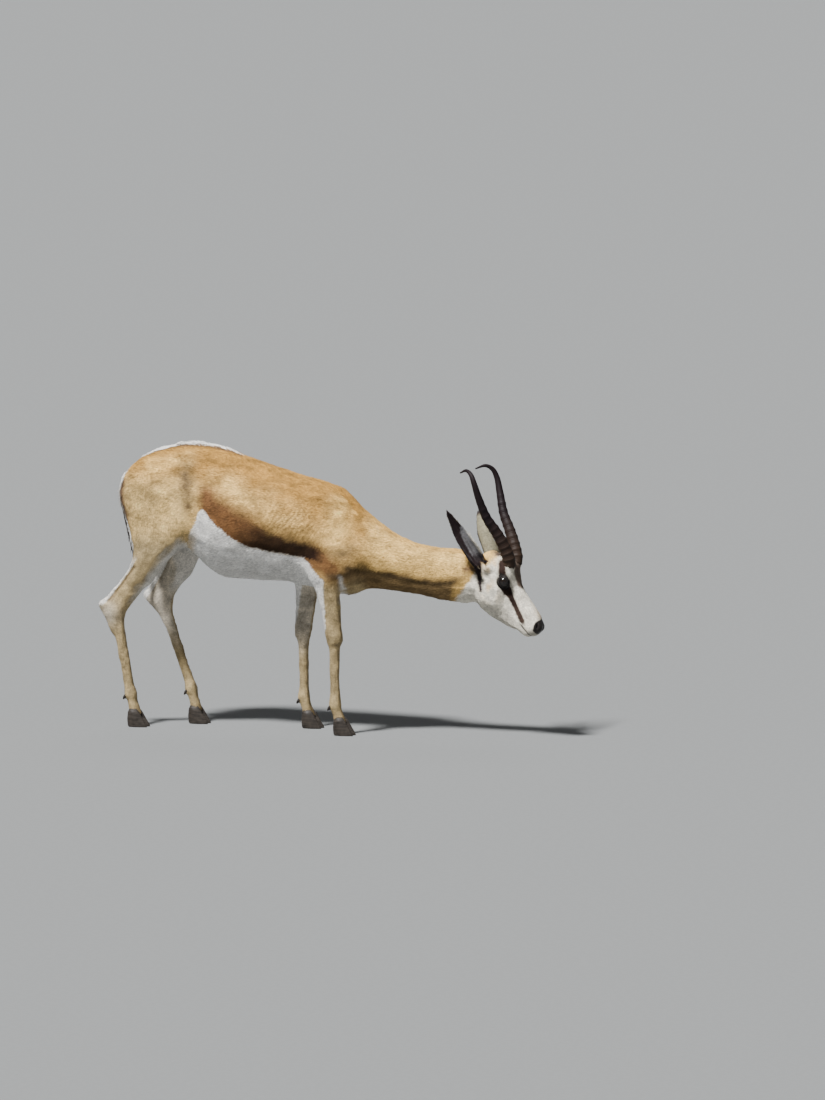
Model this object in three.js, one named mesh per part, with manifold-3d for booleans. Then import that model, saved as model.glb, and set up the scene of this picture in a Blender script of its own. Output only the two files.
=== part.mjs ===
// A springbok ram, life size, standing with its head lowered to drink.
// Millimetres. +X points to the head, +Y to the animal's left, +Z up, and the soles stand at z = 0.
// The flesh is one smooth field of lofts, limbs and muscle masses, which is meshed and cut into
// its parts along thin flat gaps. Horns, ears, eyes, tail and claws are swept or lofted shapes.

import * as THREE from 'three';
import { mergeVertices } from 'three/addons/utils/BufferGeometryUtils.js';
import { ConvexGeometry } from 'three/addons/geometries/ConvexGeometry.js';
import Module from 'manifold-3d';

const wasm = await Module();
wasm.setup();

// Gaps and mesh sizes
const gap = 0.3;                 // clear space kept between touching parts
const socketClearance = 0.45;    // clear space round a part that is let into the flesh
const tailClearance = 0.9;       // clear space between the hanging tail and the thighs
const trunkCell = 25;            // grid step of the trunk's surface
const neckCell = 18.75;
const legCell = 8.5;
const headCell = 6.5;
const trunkTolerance = 2.8;      // how far the surface may move when flat areas are simplified
const neckTolerance = 2;
const legTolerance = 2.75;
const headTolerance = 1.75;

// Trunk and neck, front to back along X. Each station: x, top line, under line, half width,
// height of the widest line, fullness above it and fullness below it (2 is an ellipse).
const bodyStations = [
  [-272, 728, 600, 54, 668, 2.0, 2.0],
  [-232, 769, 560, 80, 676, 1.95, 2.0],
  [-178, 794, 566, 101, 664, 1.9, 2.0],
  [-104, 803, 492, 111, 636, 1.8, 1.95],
  [-30, 795, 431, 119, 598, 1.78, 1.85],
  [60, 767, 420, 125, 584, 1.8, 1.78],
  [140, 744, 421, 121, 578, 1.8, 1.75],
  [215, 721, 411, 109, 572, 1.8, 1.75],
  [285, 706, 399, 96, 562, 1.75, 1.78],
  [340, 689, 393, 80, 540, 1.75, 1.9],
  [387, 643, 404, 67, 522, 1.9, 2.0],
  [440, 601, 408, 58, 506, 2.0, 2.0],
  [507, 560, 402, 51, 482, 2.0, 2.0],
  [566, 540, 395, 47, 468, 2.0, 2.0],
  [626, 533, 385, 46, 459, 2.0, 2.0],
  [690, 528, 376, 46, 450, 2.0, 2.0],
];
const rumpCap = 35;              // how far the rump rounds off behind its last station
const neckCap = 76;              // the neck runs on into the head by this much

// Head: its own frame runs down the face from the poll. Stations as above, measured along the
// face and square to it.
const poll = { x: 770, z: 500 };
const facePitch = THREE.MathUtils.degToRad(58);
const skullStations = [
  [-4, 34, -52, 36, 0, 2.1, 2.0],
  [24, 49, -74, 42, 4, 2.2, 2.0],
  [50, 59, -88, 46, 8, 2.2, 2.0],
  [78, 59, -89, 47, 4, 2.15, 2.0],
  [104, 49, -87, 43, -12, 2.1, 2.0],
  [134, 47.5, -76, 36, -14, 2.0, 2.1],
  [162, 49, -61, 29, -6, 2.1, 2.2],
  [190, 51, -44, 26, 3, 2.2, 2.2],
  [212, 50, -25, 25, 10, 2.4, 2.2],
  [229, 44, -8, 24.5, 15, 2.5, 2.3],
];
const pollCap = 18;
const noseCap = 19;
const eyeCentre = { along: 76, rise: 22, side: 37 };
const eyeRadius = 17.5;

// Horns: a lyre whose tips hook in. Centre line of the left horn, from inside the skull outwards.
const hornLine = [
  [827, 20, 472], [841, 29, 500], [830, 40, 543], [812, 53, 584], [789, 70, 626], [771, 88, 684],
  [760, 94, 724], [749, 89, 747], [732, 78, 757], [708, 62, 749],
];
const hornBaseDepth = 18.5;      // half the horn's depth at its base, front to back
const hornBaseWidth = 17;
const hornSizes = [              // place along the horn, and its size as a share of the base
  [0, 1], [0.2, 0.94], [0.43, 0.74], [0.6, 0.61], [0.78, 0.44], [0.9, 0.29], [1, 0.1],
];
const hornRings = 11;            // raised rings, closest together at the base
const hornRingHeight = 1.5;
const hornRingedLength = 0.66;   // share of the length that carries rings
const hornSides = 8;

// Ears: long pointed leaves, cupped towards the side. The root, the tip and the way the cup opens
// are counted outwards.
const ears = {
  right: { side: -1, root: [761, 43, 487], tip: [680, 96, 645], facing: [0.52, 0.84, 0.16] },
  left: { side: 1, root: [768, 42, 488], tip: [702, 100, 627], facing: [0.12, 0.98, 0.1] },
};
const earHalfWidth = 22;
const earSizes = [               // place along the ear, and its width as a share of the widest
  [0, 0.66], [0.13, 0.89], [0.3, 1], [0.48, 0.95], [0.64, 0.78], [0.8, 0.52], [0.92, 0.34], [1, 0.1],
];
const earThickness = 3.2;
const earRootCurl = 2.5;         // half angle of the rolled root, and of the open tip
const earTipCurl = 0.75;
const earBend = 6;               // how far the ear bows back between root and tip
const earStations = 9;
const earStrips = 5;

// Tail: thin root that widens to a tuft, hanging close behind the thighs.
const tailLine = [
  [-276, 0, 712], [-306, 0, 702], [-320, 0, 668], [-320, 0, 634], [-313, 0, 594],
  [-304, 0, 556], [-292, 0, 512], [-281, 0, 470], [-278, 0, 432],
];
const tailHalfWidths = [17, 16, 14, 12.5, 11.5, 11, 11, 9.5, 4];
const tailHalfDepths = [15, 14, 12, 10.5, 9, 8, 8, 7, 3];
const tailSteps = 11;
const tailSides = 8;

// Forelegs. The left one is set back under the elbow, the right one stands forward.
const forelegs = {
  right: {
    side: -1,
    shoulder: [362, 66, 492], elbow: [312, 72, 458], knee: [337, 69, 276],
    fetlock: [338, 67, 86], coronet: [352, 67, 40], sole: [366, 67, 0],
  },
  left: {
    side: 1,
    shoulder: [340, 66, 500], elbow: [208, 72, 452], knee: [193, 69, 270],
    fetlock: [196, 67, 86], coronet: [209, 67, 40], sole: [222, 67, 0],
  },
};

// Hind legs. The right one is set back and the left one forward.
const hindlegs = {
  right: {
    side: -1,
    hip: [-218, 62, 678], stifle: [-163, 78, 540], hock: [-317, 70, 321], hockTip: [-355, 70, 341],
    buttock: [-257, 48, 640], calf: [-219, 70, 478], tendonEnd: [-324, 70, 274],
    fetlock: [-275, 66, 94], coronet: [-263, 66, 42], sole: [-251, 66, 0],
  },
  left: {
    side: 1,
    hip: [-218, 62, 678], stifle: [-126, 78, 541], hock: [-229, 70, 342], hockTip: [-274, 70, 359],
    buttock: [-257, 48, 640], calf: [-186, 70, 480], tendonEnd: [-213, 70, 288],
    fetlock: [-142, 66, 98], coronet: [-129, 66, 43], sole: [-118, 66, 0],
  },
};

// Claws: two to a foot, each a flat-soled wedge.
const clawSides = 8;
const clawLength = 57;
const clawHalfWidth = 11.2;
const clawSpread = 12.2;         // from the foot's middle to each claw's middle
const coronetHeight = 38;
const coronetDrop = 9;           // how far the coronet falls along a claw's length
const dewclawRadius = 6.2;

// Coat colours
const colours = {
  fawn: '#b98a5c', paleFawn: '#c79d70', white: '#e9e3d6',
  ear: '#cdb79a', horn: '#2c241f', eye: '#17100c', hoof: '#1d1a18', tuft: '#6b5443',
};

const v3 = ([x, y, z]) => new THREE.Vector3(x, y, z);
const { clamp, lerp } = THREE.MathUtils;

// Values of a loft at one place, by a smooth curve through its stations.
function stationAt(stations, place) {
  let i = 0;
  while (i < stations.length - 2 && place > stations[i + 1][0]) i += 1;
  const [a, b] = [stations[i], stations[i + 1]];
  const before = stations[Math.max(i - 1, 0)];
  const after = stations[Math.min(i + 2, stations.length - 1)];
  const span = b[0] - a[0];
  const t = (place - a[0]) / span;
  return a.map((value, column) => {
    const slopeA = (b[column] - before[column]) / (b[0] - before[0]) * span;
    const slopeB = (after[column] - value) / (after[0] - a[0]) * span;
    const rise = b[column] - value;
    return value + t * (slopeA + t * (3 * rise - 2 * slopeA - slopeB + t * (slopeA + slopeB - 2 * rise)));
  });
}

// Distance to a loft: `along` runs down its stations, `side` is the half-width way, `rise` is up.
function loftDistance(stations, startCap, endCap, along, side, rise) {
  const first = stations[0][0];
  const last = stations[stations.length - 1][0];
  const place = clamp(along, first, last);
  const [, top, bottom, half, widest, crown, keel] = stationAt(stations, place);
  const up = rise - widest;
  const height = up > 0 ? top - widest : widest - bottom;
  const power = up > 0 ? crown : keel;
  const past = along - place;
  const over = past / (past < 0 ? startCap : endCap);
  const section = (Math.abs(side / half) ** power + Math.abs(up / height) ** power) ** (1 / power);
  const level = Math.hypot(section, over);
  if (level < 1e-4) return -Math.min(half, height);
  return Math.hypot(side, up, past) * (level - 1) / level;
}

// Distance to a tapered limb between two points, flattened sideways.
function limbDistance(p, a, b, radiusA, radiusB, flat = 1) {
  const [ax, ay, az] = [a[0], a[1] / flat, a[2]];
  const [dx, dy, dz] = [b[0] - ax, b[1] / flat - ay, b[2] - az];
  const [px, py, pz] = [p[0] - ax, p[1] / flat - ay, p[2] - az];
  const t = clamp((px * dx + py * dy + pz * dz) / (dx * dx + dy * dy + dz * dz), 0, 1);
  const distance = Math.hypot(px - t * dx, py - t * dy, pz - t * dz) - lerp(radiusA, radiusB, t);
  return distance * Math.min(1, (1 + flat) / 2);
}

// Distance to an ellipsoid tilted in the side view.
function massDistance(p, centre, radii, tilt = 0) {
  const [c, s] = [Math.cos(tilt), Math.sin(tilt)];
  const [dx, y, dz] = [p[0] - centre[0], p[1] - centre[1], p[2] - centre[2]];
  const x = dx * c + dz * s;
  const z = dz * c - dx * s;
  const level = Math.hypot(x / radii[0], y / radii[1], z / radii[2]);
  const slope = Math.hypot(x / radii[0] ** 2, y / radii[1] ** 2, z / radii[2] ** 2);
  return slope < 1e-6 ? -Math.min(...radii) : level * (level - 1) / slope;
}

// Smooth union of two distances, rounding their join over `reach`.
function join(a, b, reach) {
  const share = Math.max(reach - Math.abs(a - b), 0) / reach;
  return Math.min(a, b) - share * share * reach / 4;
}

// Smooth cut of one distance by another.
const carve = (body, tool, reach) => -join(-body, tool, reach);

const toHead = (x, z) => ({
  along: (x - poll.x) * Math.cos(facePitch) - (z - poll.z) * Math.sin(facePitch),
  rise: (x - poll.x) * Math.sin(facePitch) + (z - poll.z) * Math.cos(facePitch),
});

const fromHead = (along, side, rise) => new THREE.Vector3(
  poll.x + along * Math.cos(facePitch) + rise * Math.sin(facePitch),
  side,
  poll.z - along * Math.sin(facePitch) + rise * Math.cos(facePitch),
);

// The head in its own frame: skull and muzzle, brow over the eye, cheek, lips and nose pad.
function headDistance(x, side, z) {
  const { along, rise } = toHead(x, z);
  const p = [along, side, rise];
  let d = loftDistance(skullStations, pollCap, noseCap, along, side, rise);
  d = join(d, massDistance(p, [62, 34, 33], [25, 15, 12], 0.1), 14);
  d = join(d, massDistance(p, [84, 30, 4], [24, 17, 14], -0.1), 14);
  d = join(d, massDistance(p, [92, 26, -38], [38, 17, 34], 0.35), 18);
  d = join(d, massDistance(p, [229, 11, 30], [18, 13, 12]), 10);
  d = join(d, massDistance(p, [224, 10, 8], [24, 14, 14], 0.15), 10);
  d = join(d, massDistance(p, [220, 6, -11], [24, 15, 10], 0.25), 7);
  d = join(d, limbDistance(p, [20, 20, 40], [46, 25, 52], 14, 18), 14);
  d = join(d, limbDistance(p, [10, 30, 0], [24, 43, 2], 14, 12), 14);
  d = carve(d, massDistance(p, [138, 44, 16], [40, 12, 22], -0.05), 12);
  return d;
}

// The shoulder, upper arm and foreleg of one side.
function forelegDistance(x, y, z, leg) {
  const p = [x, y * leg.side, z];
  const bladeTop = [316, 42, 628];
  let d = limbDistance(p, bladeTop, leg.shoulder, 40, 56, 0.62);
  d = join(d, limbDistance(p, leg.shoulder, leg.elbow, 54, 46, 0.62), 30);
  d = join(d, limbDistance(p, leg.elbow, leg.knee, 40, 22.5, 0.72), 24);
  d = join(d, massDistance(p, leg.knee, [23.5, 19.5, 32]), 12);
  const shaft = leg.knee.map((value, i) => lerp(value, leg.fetlock[i], 0.5));
  d = join(d, limbDistance(p, leg.knee, shaft, 17, 12.8, 0.88), 10);
  d = join(d, limbDistance(p, shaft, leg.fetlock, 12.8, 14.5, 0.92), 10);
  return join(d, footDistance(p, leg), 8);
}

// Fetlock and pastern, down to the top of the claws.
function footDistance(p, leg) {
  let d = massDistance(p, leg.fetlock, [16.5, 17, 18]);
  d = join(d, limbDistance(p, leg.fetlock, leg.coronet, 13, 15, 1.12), 8);
  return join(d, limbDistance(p, leg.coronet, leg.sole, 16, 19, 1.2), 6);
}

// The thigh, gaskin, hock and hind cannon of one side.
function hindlegDistance(x, y, z, leg) {
  const p = [x, y * leg.side, z];
  const upper = leg.stifle.map((value, i) => lerp(value, leg.hock[i], 0.48));
  const shaft = leg.hock.map((value, i) => lerp(value, leg.fetlock[i], 0.52));
  let d = limbDistance(p, leg.hip, leg.stifle, 80, 46, 0.56);
  d = join(d, limbDistance(p, leg.buttock, leg.calf, 46, 34, 0.74), 40);
  d = join(d, limbDistance(p, leg.stifle, upper, 43, 29, 0.68), 28);
  d = join(d, limbDistance(p, leg.calf, upper, 34, 26, 0.74), 26);
  d = join(d, limbDistance(p, upper, leg.hock, 29, 22, 0.74), 22);
  d = join(d, limbDistance(p, leg.calf, leg.hockTip, 19, 10.5, 0.78), 18);
  const web = leg.hock.map((value, i) => lerp(value, leg.hockTip[i], 0.45));
  d = join(d, limbDistance(p, upper, web, 20, 16, 0.5), 12);
  d = join(d, massDistance(p, leg.hock, [24, 19, 27]), 14);
  d = join(d, limbDistance(p, leg.hockTip, leg.tendonEnd, 11.5, 12, 0.9), 14);
  d = join(d, limbDistance(p, leg.hock, shaft, 20, 13.8, 0.86), 14);
  d = join(d, limbDistance(p, shaft, leg.fetlock, 13.8, 15.2, 0.92), 10);
  return join(d, footDistance(p, leg), 8);
}

// All the flesh as one field: negative inside, near to millimetres at the surface.
function flesh(x, y, z) {
  const side = Math.abs(y);
  const p = [x, side, z];
  let d = loftDistance(bodyStations, rumpCap, neckCap, x, side, z);
  d = join(d, massDistance(p, [352, 0, 442], [52, 44, 48], 0.2), 30);
  d = join(d, massDistance(p, [-196, 52, 708], [54, 42, 52], -0.3), 40);
  d = join(d, massDistance(p, [-108, 84, 588], [28, 22, 44], -0.25), 36);
  if (x > 640) d = join(d, headDistance(x, side, z), 22);
  if (x < 0) {
    d = join(d, hindlegDistance(x, y, z, hindlegs.right), 32);
    d = join(d, hindlegDistance(x, y, z, hindlegs.left), 32);
  }
  if (x > 60 && x < 460) {
    d = join(d, forelegDistance(x, y, z, forelegs.right), 34);
    d = join(d, forelegDistance(x, y, z, forelegs.left), 34);
  }
  return d;
}

// A closed solid from loose triangles.
function toSolid(positions, indices) {
  const mesh = new wasm.Mesh({
    numProp: 3,
    vertProperties: Float32Array.from(positions),
    triVerts: Uint32Array.from(indices),
  });
  return new wasm.Manifold(mesh);
}

function geometryToSolid(geometry) {
  const bare = new THREE.BufferGeometry();
  bare.setAttribute('position', geometry.getAttribute('position'));
  bare.setIndex(geometry.getIndex());
  const merged = mergeVertices(bare, 1e-4);
  return toSolid(merged.getAttribute('position').array, merged.getIndex().array);
}

// The three neighbours that complete a quad round a grid edge of each direction.
const quadSteps = [
  [[0, 1, 0], [0, 1, 1], [0, 0, 1]],
  [[0, 0, 1], [1, 0, 1], [1, 0, 0]],
  [[1, 0, 0], [1, 1, 0], [0, 1, 0]],
];

// Mesh of a field inside a box: one vertex in each grid cell that the surface crosses, drawn onto
// the surface, and one quad round each grid edge that it crosses.
function solidOfField(field, low, high, cell, tolerance) {
  const inBox = (x, y, z) => Math.max(
    field(x, y, z), low[0] - x, x - high[0], low[1] - y, y - high[1], low[2] - z, z - high[2],
  );
  const start = low.map((value) => value - 1.5 * cell);
  const count = high.map((value, i) => Math.ceil((value - start[i]) / cell + 2.5));
  const at = (i, j, k) => (i * count[1] + j) * count[2] + k;
  const values = new Float32Array(count[0] * count[1] * count[2]);
  for (let i = 0; i < count[0]; i += 1) {
    for (let j = 0; j < count[1]; j += 1) {
      for (let k = 0; k < count[2]; k += 1) {
        values[at(i, j, k)] = inBox(start[0] + i * cell, start[1] + j * cell, start[2] + k * cell);
      }
    }
  }
  const positions = [];
  const vertexOf = new Map();
  const cellVertex = (i, j, k) => {
    const key = at(i, j, k);
    if (!vertexOf.has(key)) {
      vertexOf.set(key, positions.length / 3);
      positions.push(...surfacePoint(inBox, values, at, [i, j, k], start, cell));
    }
    return vertexOf.get(key);
  };
  const indices = [];
  for (let i = 1; i < count[0] - 1; i += 1) {
    for (let j = 1; j < count[1] - 1; j += 1) {
      for (let k = 1; k < count[2] - 1; k += 1) {
        const here = values[at(i, j, k)] < 0;
        for (let axis = 0; axis < 3; axis += 1) {
          const next = [i, j, k];
          next[axis] += 1;
          if (here === values[at(...next)] < 0) continue;
          const corners = [[0, 0, 0], ...quadSteps[axis]].map((step) => cellVertex(
            i + step[0] - (axis !== 0), j + step[1] - (axis !== 1), k + step[2] - (axis !== 2),
          ));
          pushQuad(indices, here ? corners : corners.reverse());
        }
      }
    }
  }
  return toSolid(positions, indices).simplify(tolerance);
}

function pushQuad(indices, [a, b, c, d]) {
  indices.push(a, b, c, a, c, d);
}

// The middle of the surface's crossings in one cell, moved onto the surface along the slope.
function surfacePoint(field, values, at, [i, j, k], start, cell) {
  const sum = [0, 0, 0];
  let crossings = 0;
  for (let axis = 0; axis < 3; axis += 1) {
    for (let u = 0; u < 2; u += 1) {
      for (let v = 0; v < 2; v += 1) {
        const near = [i, j, k];
        near[(axis + 1) % 3] += u;
        near[(axis + 2) % 3] += v;
        const far = [...near];
        far[axis] += 1;
        const [a, b] = [values[at(...near)], values[at(...far)]];
        if (a < 0 === b < 0) continue;
        crossings += 1;
        near[axis] += a / (a - b);
        near.forEach((value, n) => { sum[n] += value; });
      }
    }
  }
  const p = sum.map((value, n) => start[n] + cell * value / crossings);
  const anchor = [...p];
  const step = 0.5;
  for (let round = 0; round < 3; round += 1) {
    const value = field(...p);
    const slope = p.map((_, n) => {
      const [ahead, behind] = [[...p], [...p]];
      ahead[n] += step;
      behind[n] -= step;
      return (field(...ahead) - field(...behind)) / (2 * step);
    });
    const steepness = Math.max(slope[0] ** 2 + slope[1] ** 2 + slope[2] ** 2, 0.2);
    slope.forEach((part, n) => {
      const moved = p[n] - value * part / steepness;
      p[n] = clamp(moved, anchor[n] - 0.45 * cell, anchor[n] + 0.45 * cell);
    });
  }
  return p;
}

// The same solid with its surface moved out by a small distance.
function inflate(solid, distance) {
  const { vertProperties, triVerts } = solid.getMesh();
  const geometry = new THREE.BufferGeometry();
  geometry.setAttribute('position', new THREE.BufferAttribute(Float32Array.from(vertProperties), 3));
  geometry.setIndex(new THREE.BufferAttribute(Uint32Array.from(triVerts), 1));
  geometry.computeVertexNormals();
  const normal = geometry.getAttribute('normal').array;
  const grown = Array.from(vertProperties, (value, i) => value + distance * normal[i]);
  return toSolid(grown, triVerts);
}

// The space that some solids take up when they are moved a little each way.
function surroundings(solids, distance) {
  const ways = [[1, 0, 0], [0, 1, 0], [0, 0, 1]].flatMap((way) => [way, way.map((n) => -n)]);
  const moves = ways.map((way) => way.map((n) => n * distance));
  return solids.flatMap((solid) => moves.map((move) => solid.translate(move)))
    .reduce((whole, copy) => whole.add(copy));
}

// A closed tube of rings of equal size. Rings run anticlockwise when seen from the far end, and each
// end is closed by a ladder between the first and the second half of its ring.
function tubeSolid(rings) {
  const sides = rings[0].length;
  const positions = rings.flat().flatMap((point) => point.toArray());
  const indices = [];
  for (let r = 0; r < rings.length - 1; r += 1) {
    for (let s = 0; s < sides; s += 1) {
      const here = r * sides + s;
      const beside = r * sides + (s + 1) % sides;
      pushQuad(indices, [here, beside, beside + sides, here + sides]);
    }
  }
  const last = (rings.length - 1) * sides;
  for (let s = 0; s < sides / 2 - 1; s += 1) {
    const rung = [s, s + 1, sides - 2 - s, sides - 1 - s];
    pushQuad(indices, rung.map((n) => n + last));
    pushQuad(indices, rung.reverse());
  }
  return toSolid(positions, indices);
}

// A tube along a curve: each ring is an ellipse square to the curve.
function sweptSolid(line, steps, sides, sizeAt, sideways) {
  const curve = new THREE.CatmullRomCurve3(line.map(v3), false, 'centripetal');
  const rings = [];
  for (const t of steps) {
    const centre = curve.getPointAt(t);
    const forward = curve.getTangentAt(t);
    const across = sideways.clone().addScaledVector(forward, -sideways.dot(forward)).normalize();
    const around = new THREE.Vector3().crossVectors(forward, across);
    const [halfAcross, halfAround] = sizeAt(t);
    rings.push(Array.from({ length: sides }, (_, s) => {
      const angle = 2 * Math.PI * s / sides;
      return centre.clone()
        .addScaledVector(across, halfAcross * Math.cos(angle))
        .addScaledVector(around, halfAround * Math.sin(angle));
    }));
  }
  return tubeSolid(rings);
}

// A convex block between a side-view outline at the inner side and the same at the outer side.
function block(innerOutline, outerOutline, inner, outer) {
  const points = [
    ...innerOutline.map(([x, z]) => new THREE.Vector3(x, inner, z)),
    ...outerOutline.map(([x, z]) => new THREE.Vector3(x, outer, z)),
  ];
  return geometryToSolid(new ConvexGeometry(points));
}

// The block of space that holds one hind leg: under a line from the tail to the flank fold.
const hindOutline = (grow) => [
  [-430, 706 + grow], [-98 + grow, 592 + grow], [34 + grow, -30], [-430, -30],
];
const legBlockWidth = 260;

// The block of space that holds one foreleg: under a plane that climbs outwards past the elbow.
function forelegBlock(leg, grow) {
  const back = leg.elbow[0] - 66 - grow;
  const front = Math.min(leg.elbow[0] + 84, 386) + grow;
  const foot = leg.sole[0];
  const lowBack = Math.min(foot - 60, back);
  const lowFront = Math.max(foot + 60, front);
  const outline = (top) => [[back, top], [front, top], [lowFront, -30], [lowBack, -30]];
  const inner = leg.side * (33 - grow);
  return block(outline(400 + grow), outline(512 + grow), inner, leg.side * 150);
}

// Planes between head and neck, and between neck and trunk, as a unit normal and an offset.
function planeThrough([x0, z0], [x1, z1]) {
  const normal = new THREE.Vector3(z0 - z1, 0, x1 - x0).normalize();
  if (normal.x < 0) normal.negate();
  return { normal: normal.toArray(), offset: normal.x * x0 + normal.z * z0 };
}
const napePlane = planeThrough([752, 560], [704, 350]);
const shoulderPlane = planeThrough([352, 700], [404, 380]);

const ahead = (solid, plane) => solid.trimByPlane(plane.normal, plane.offset + gap / 2);
const behind = (solid, plane) => solid.trimByPlane(plane.normal.map((n) => -n), gap / 2 - plane.offset);

// Flesh parts
function makeHead() {
  const solid = solidOfField(flesh, [655, -90, 270], [965, 90, 600], headCell, headTolerance);
  let head = ahead(solid, napePlane);
  for (const side of [1, -1]) {
    head = head.subtract(eyeBall(side, eyeRadius + socketClearance));
  }
  return head;
}

function makeNeck() {
  const solid = solidOfField(flesh, [305, -150, 330], [800, 150, 740], neckCell, neckTolerance);
  return behind(ahead(solid, shoulderPlane), napePlane);
}

function makeTrunk() {
  const solid = solidOfField(flesh, [-345, -170, 340], [450, 170, 830], trunkCell, trunkTolerance);
  const outline = hindOutline(0);
  return behind(solid, shoulderPlane)
    .subtract(block(outline, outline, -legBlockWidth, legBlockWidth))
    .subtract(forelegBlock(forelegs.right, 0))
    .subtract(forelegBlock(forelegs.left, 0));
}

// A leg's skin ends at the coronet, in a flat cut that falls forwards to the toe.
function coronetPlane(leg) {
  const normal = new THREE.Vector3(coronetDrop, 0, clawLength).normalize();
  return { normal: normal.toArray(), offset: normal.x * leg.coronet[0] + normal.z * coronetHeight };
}

function makeHindleg(leg) {
  const outline = hindOutline(-gap);
  const low = leg.side < 0 ? [-415, -170, -20] : [-360, -24, -20];
  const high = leg.side < 0 ? [-20, 24, 745] : [-20, 170, 745];
  const solid = solidOfField(flesh, low, high, legCell, legTolerance);
  const space = block(outline, outline, leg.side * gap / 2, leg.side * legBlockWidth);
  return largest(ahead(solid.intersect(space), coronetPlane(leg)));
}

function makeForeleg(leg) {
  const x = leg.elbow[0];
  const low = leg.side < 0 ? [x - 110, -170, -20] : [x - 110, 4, -20];
  const high = leg.side < 0 ? [430, -4, 560] : [x + 130, 170, 560];
  const solid = solidOfField(flesh, low, high, legCell, legTolerance);
  return largest(ahead(solid.intersect(forelegBlock(leg, -gap)), coronetPlane(leg)));
}

// The biggest body of a cut solid, without the crumbs that a cut can leave.
function largest(solid) {
  const pieces = solid.decompose();
  return pieces.reduce((best, piece) => (piece.volume() > best.volume() ? piece : best));
}

// Eyes
function eyeBall(side, radius) {
  const ball = new THREE.SphereGeometry(radius, 12, 7);
  ball.rotateX(Math.PI / 2);
  const centre = fromHead(eyeCentre.along, side * eyeCentre.side, eyeCentre.rise);
  ball.translate(centre.x, centre.y, centre.z);
  return geometryToSolid(ball);
}

// Horns
function hornSteps() {
  const steps = [0, 0.05];
  for (let ring = 0; ring < hornRings; ring += 1) {
    const share = (ring + 0.5) / hornRings;
    const middle = 0.06 + (hornRingedLength - 0.06) * share ** 1.15;
    const half = 0.011 + 0.006 * share;
    steps.push(middle - half, middle);
  }
  return [...steps, 0.76, 0.82, 0.88, 0.94, 1].map((t) => Math.round(t * 1e4) / 1e4);
}

function makeHorn(side, head) {
  const line = hornLine.map(([x, y, z]) => [x, side * y, z]);
  const steps = hornSteps();
  const ringed = new Set(steps.filter((_, i) => i > 2 && i % 2 === 1 && i < 2 + 2 * hornRings));
  const sizeAt = (t) => {
    const taper = stationAt(hornSizes, t)[1];
    const ridge = ringed.has(t) ? hornRingHeight * (1 - 0.6 * t) : 0;
    return [hornBaseWidth * taper + ridge, hornBaseDepth * taper + ridge];
  };
  const horn = sweptSolid(line, steps, hornSides, sizeAt, new THREE.Vector3(0, 1, 0));
  return largest(horn.subtract(head));
}

// Ears: each cross-section is an arc of the cup with a little thickness.
function makeEar(ear, head) {
  const [root, tip, facing] = [ear.root, ear.tip, ear.facing].map(([x, y, z]) => v3([x, ear.side * y, z]));
  const axis = tip.clone().sub(root).normalize();
  facing.addScaledVector(axis, -facing.dot(axis)).normalize();
  const across = new THREE.Vector3().crossVectors(axis, facing);
  const rings = [];
  for (let i = 0; i < earStations; i += 1) {
    const t = i / (earStations - 1);
    const half = earHalfWidth * stationAt(earSizes, t)[1];
    const curl = lerp(earRootCurl, earTipCurl, Math.min(t * 1.7, 1));
    const radius = half / Math.sin(Math.min(curl, Math.PI / 2));
    const bend = earBend * Math.sin(Math.PI * t);
    const centre = root.clone().lerp(tip, t).addScaledVector(facing, radius * 0.7 - bend);
    const arc = (shell) => Array.from({ length: earStrips + 1 }, (_, s) => {
      const angle = lerp(-curl, curl, s / earStrips);
      const reach = radius - shell;
      return centre.clone()
        .addScaledVector(facing, -reach * Math.cos(angle))
        .addScaledVector(across, reach * Math.sin(angle));
    });
    rings.push([...arc(Math.min(earThickness, radius / 2)), ...arc(0).reverse()]);
  }
  return largest(tubeSolid(rings).subtract(head));
}

// Tail
function makeTail(flank) {
  const alongSizes = (sizes, t) => {
    const place = t * (sizes.length - 1);
    const i = Math.min(Math.floor(place), sizes.length - 2);
    return lerp(sizes[i], sizes[i + 1], place - i);
  };
  const steps = Array.from({ length: tailSteps + 1 }, (_, i) => i / tailSteps);
  const sizeAt = (t) => [alongSizes(tailHalfWidths, t), alongSizes(tailHalfDepths, t)];
  const tail = sweptSolid(tailLine, steps, tailSides, sizeAt, new THREE.Vector3(0, 1, 0));
  return largest(tail.subtract(flank));
}

// Claws: four levels of one outline, pointed at the toe and round at the heel.
function makeClaw(leg, outer) {
  const [soleX, soleY] = leg.sole;
  const middle = leg.side * (soleY + (outer ? clawSpread : -clawSpread));
  const level = (height, length, half, shift) => Array.from({ length: clawSides }, (_, s) => {
    const angle = 2 * Math.PI * s / clawSides;
    const forward = Math.cos(angle);
    const width = half * Math.sin(angle) * (forward > 0 ? 1 - 0.35 * forward : 1);
    const x = soleX + shift + forward * length / 2;
    return new THREE.Vector3(x, middle + width, height);
  });
  const rings = [
    level(0, clawLength * 0.96, clawHalfWidth * 0.94, 2),
    level(5, clawLength, clawHalfWidth, 0),
    level(22, clawLength * 0.84, clawHalfWidth * 0.98, -6),
    level(46, clawLength * 0.58, clawHalfWidth * 0.9, -13),
  ];
  const plane = coronetPlane(leg);
  return tubeSolid(rings).trimByPlane(plane.normal.map((n) => -n), gap / 2 - plane.offset);
}

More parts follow.
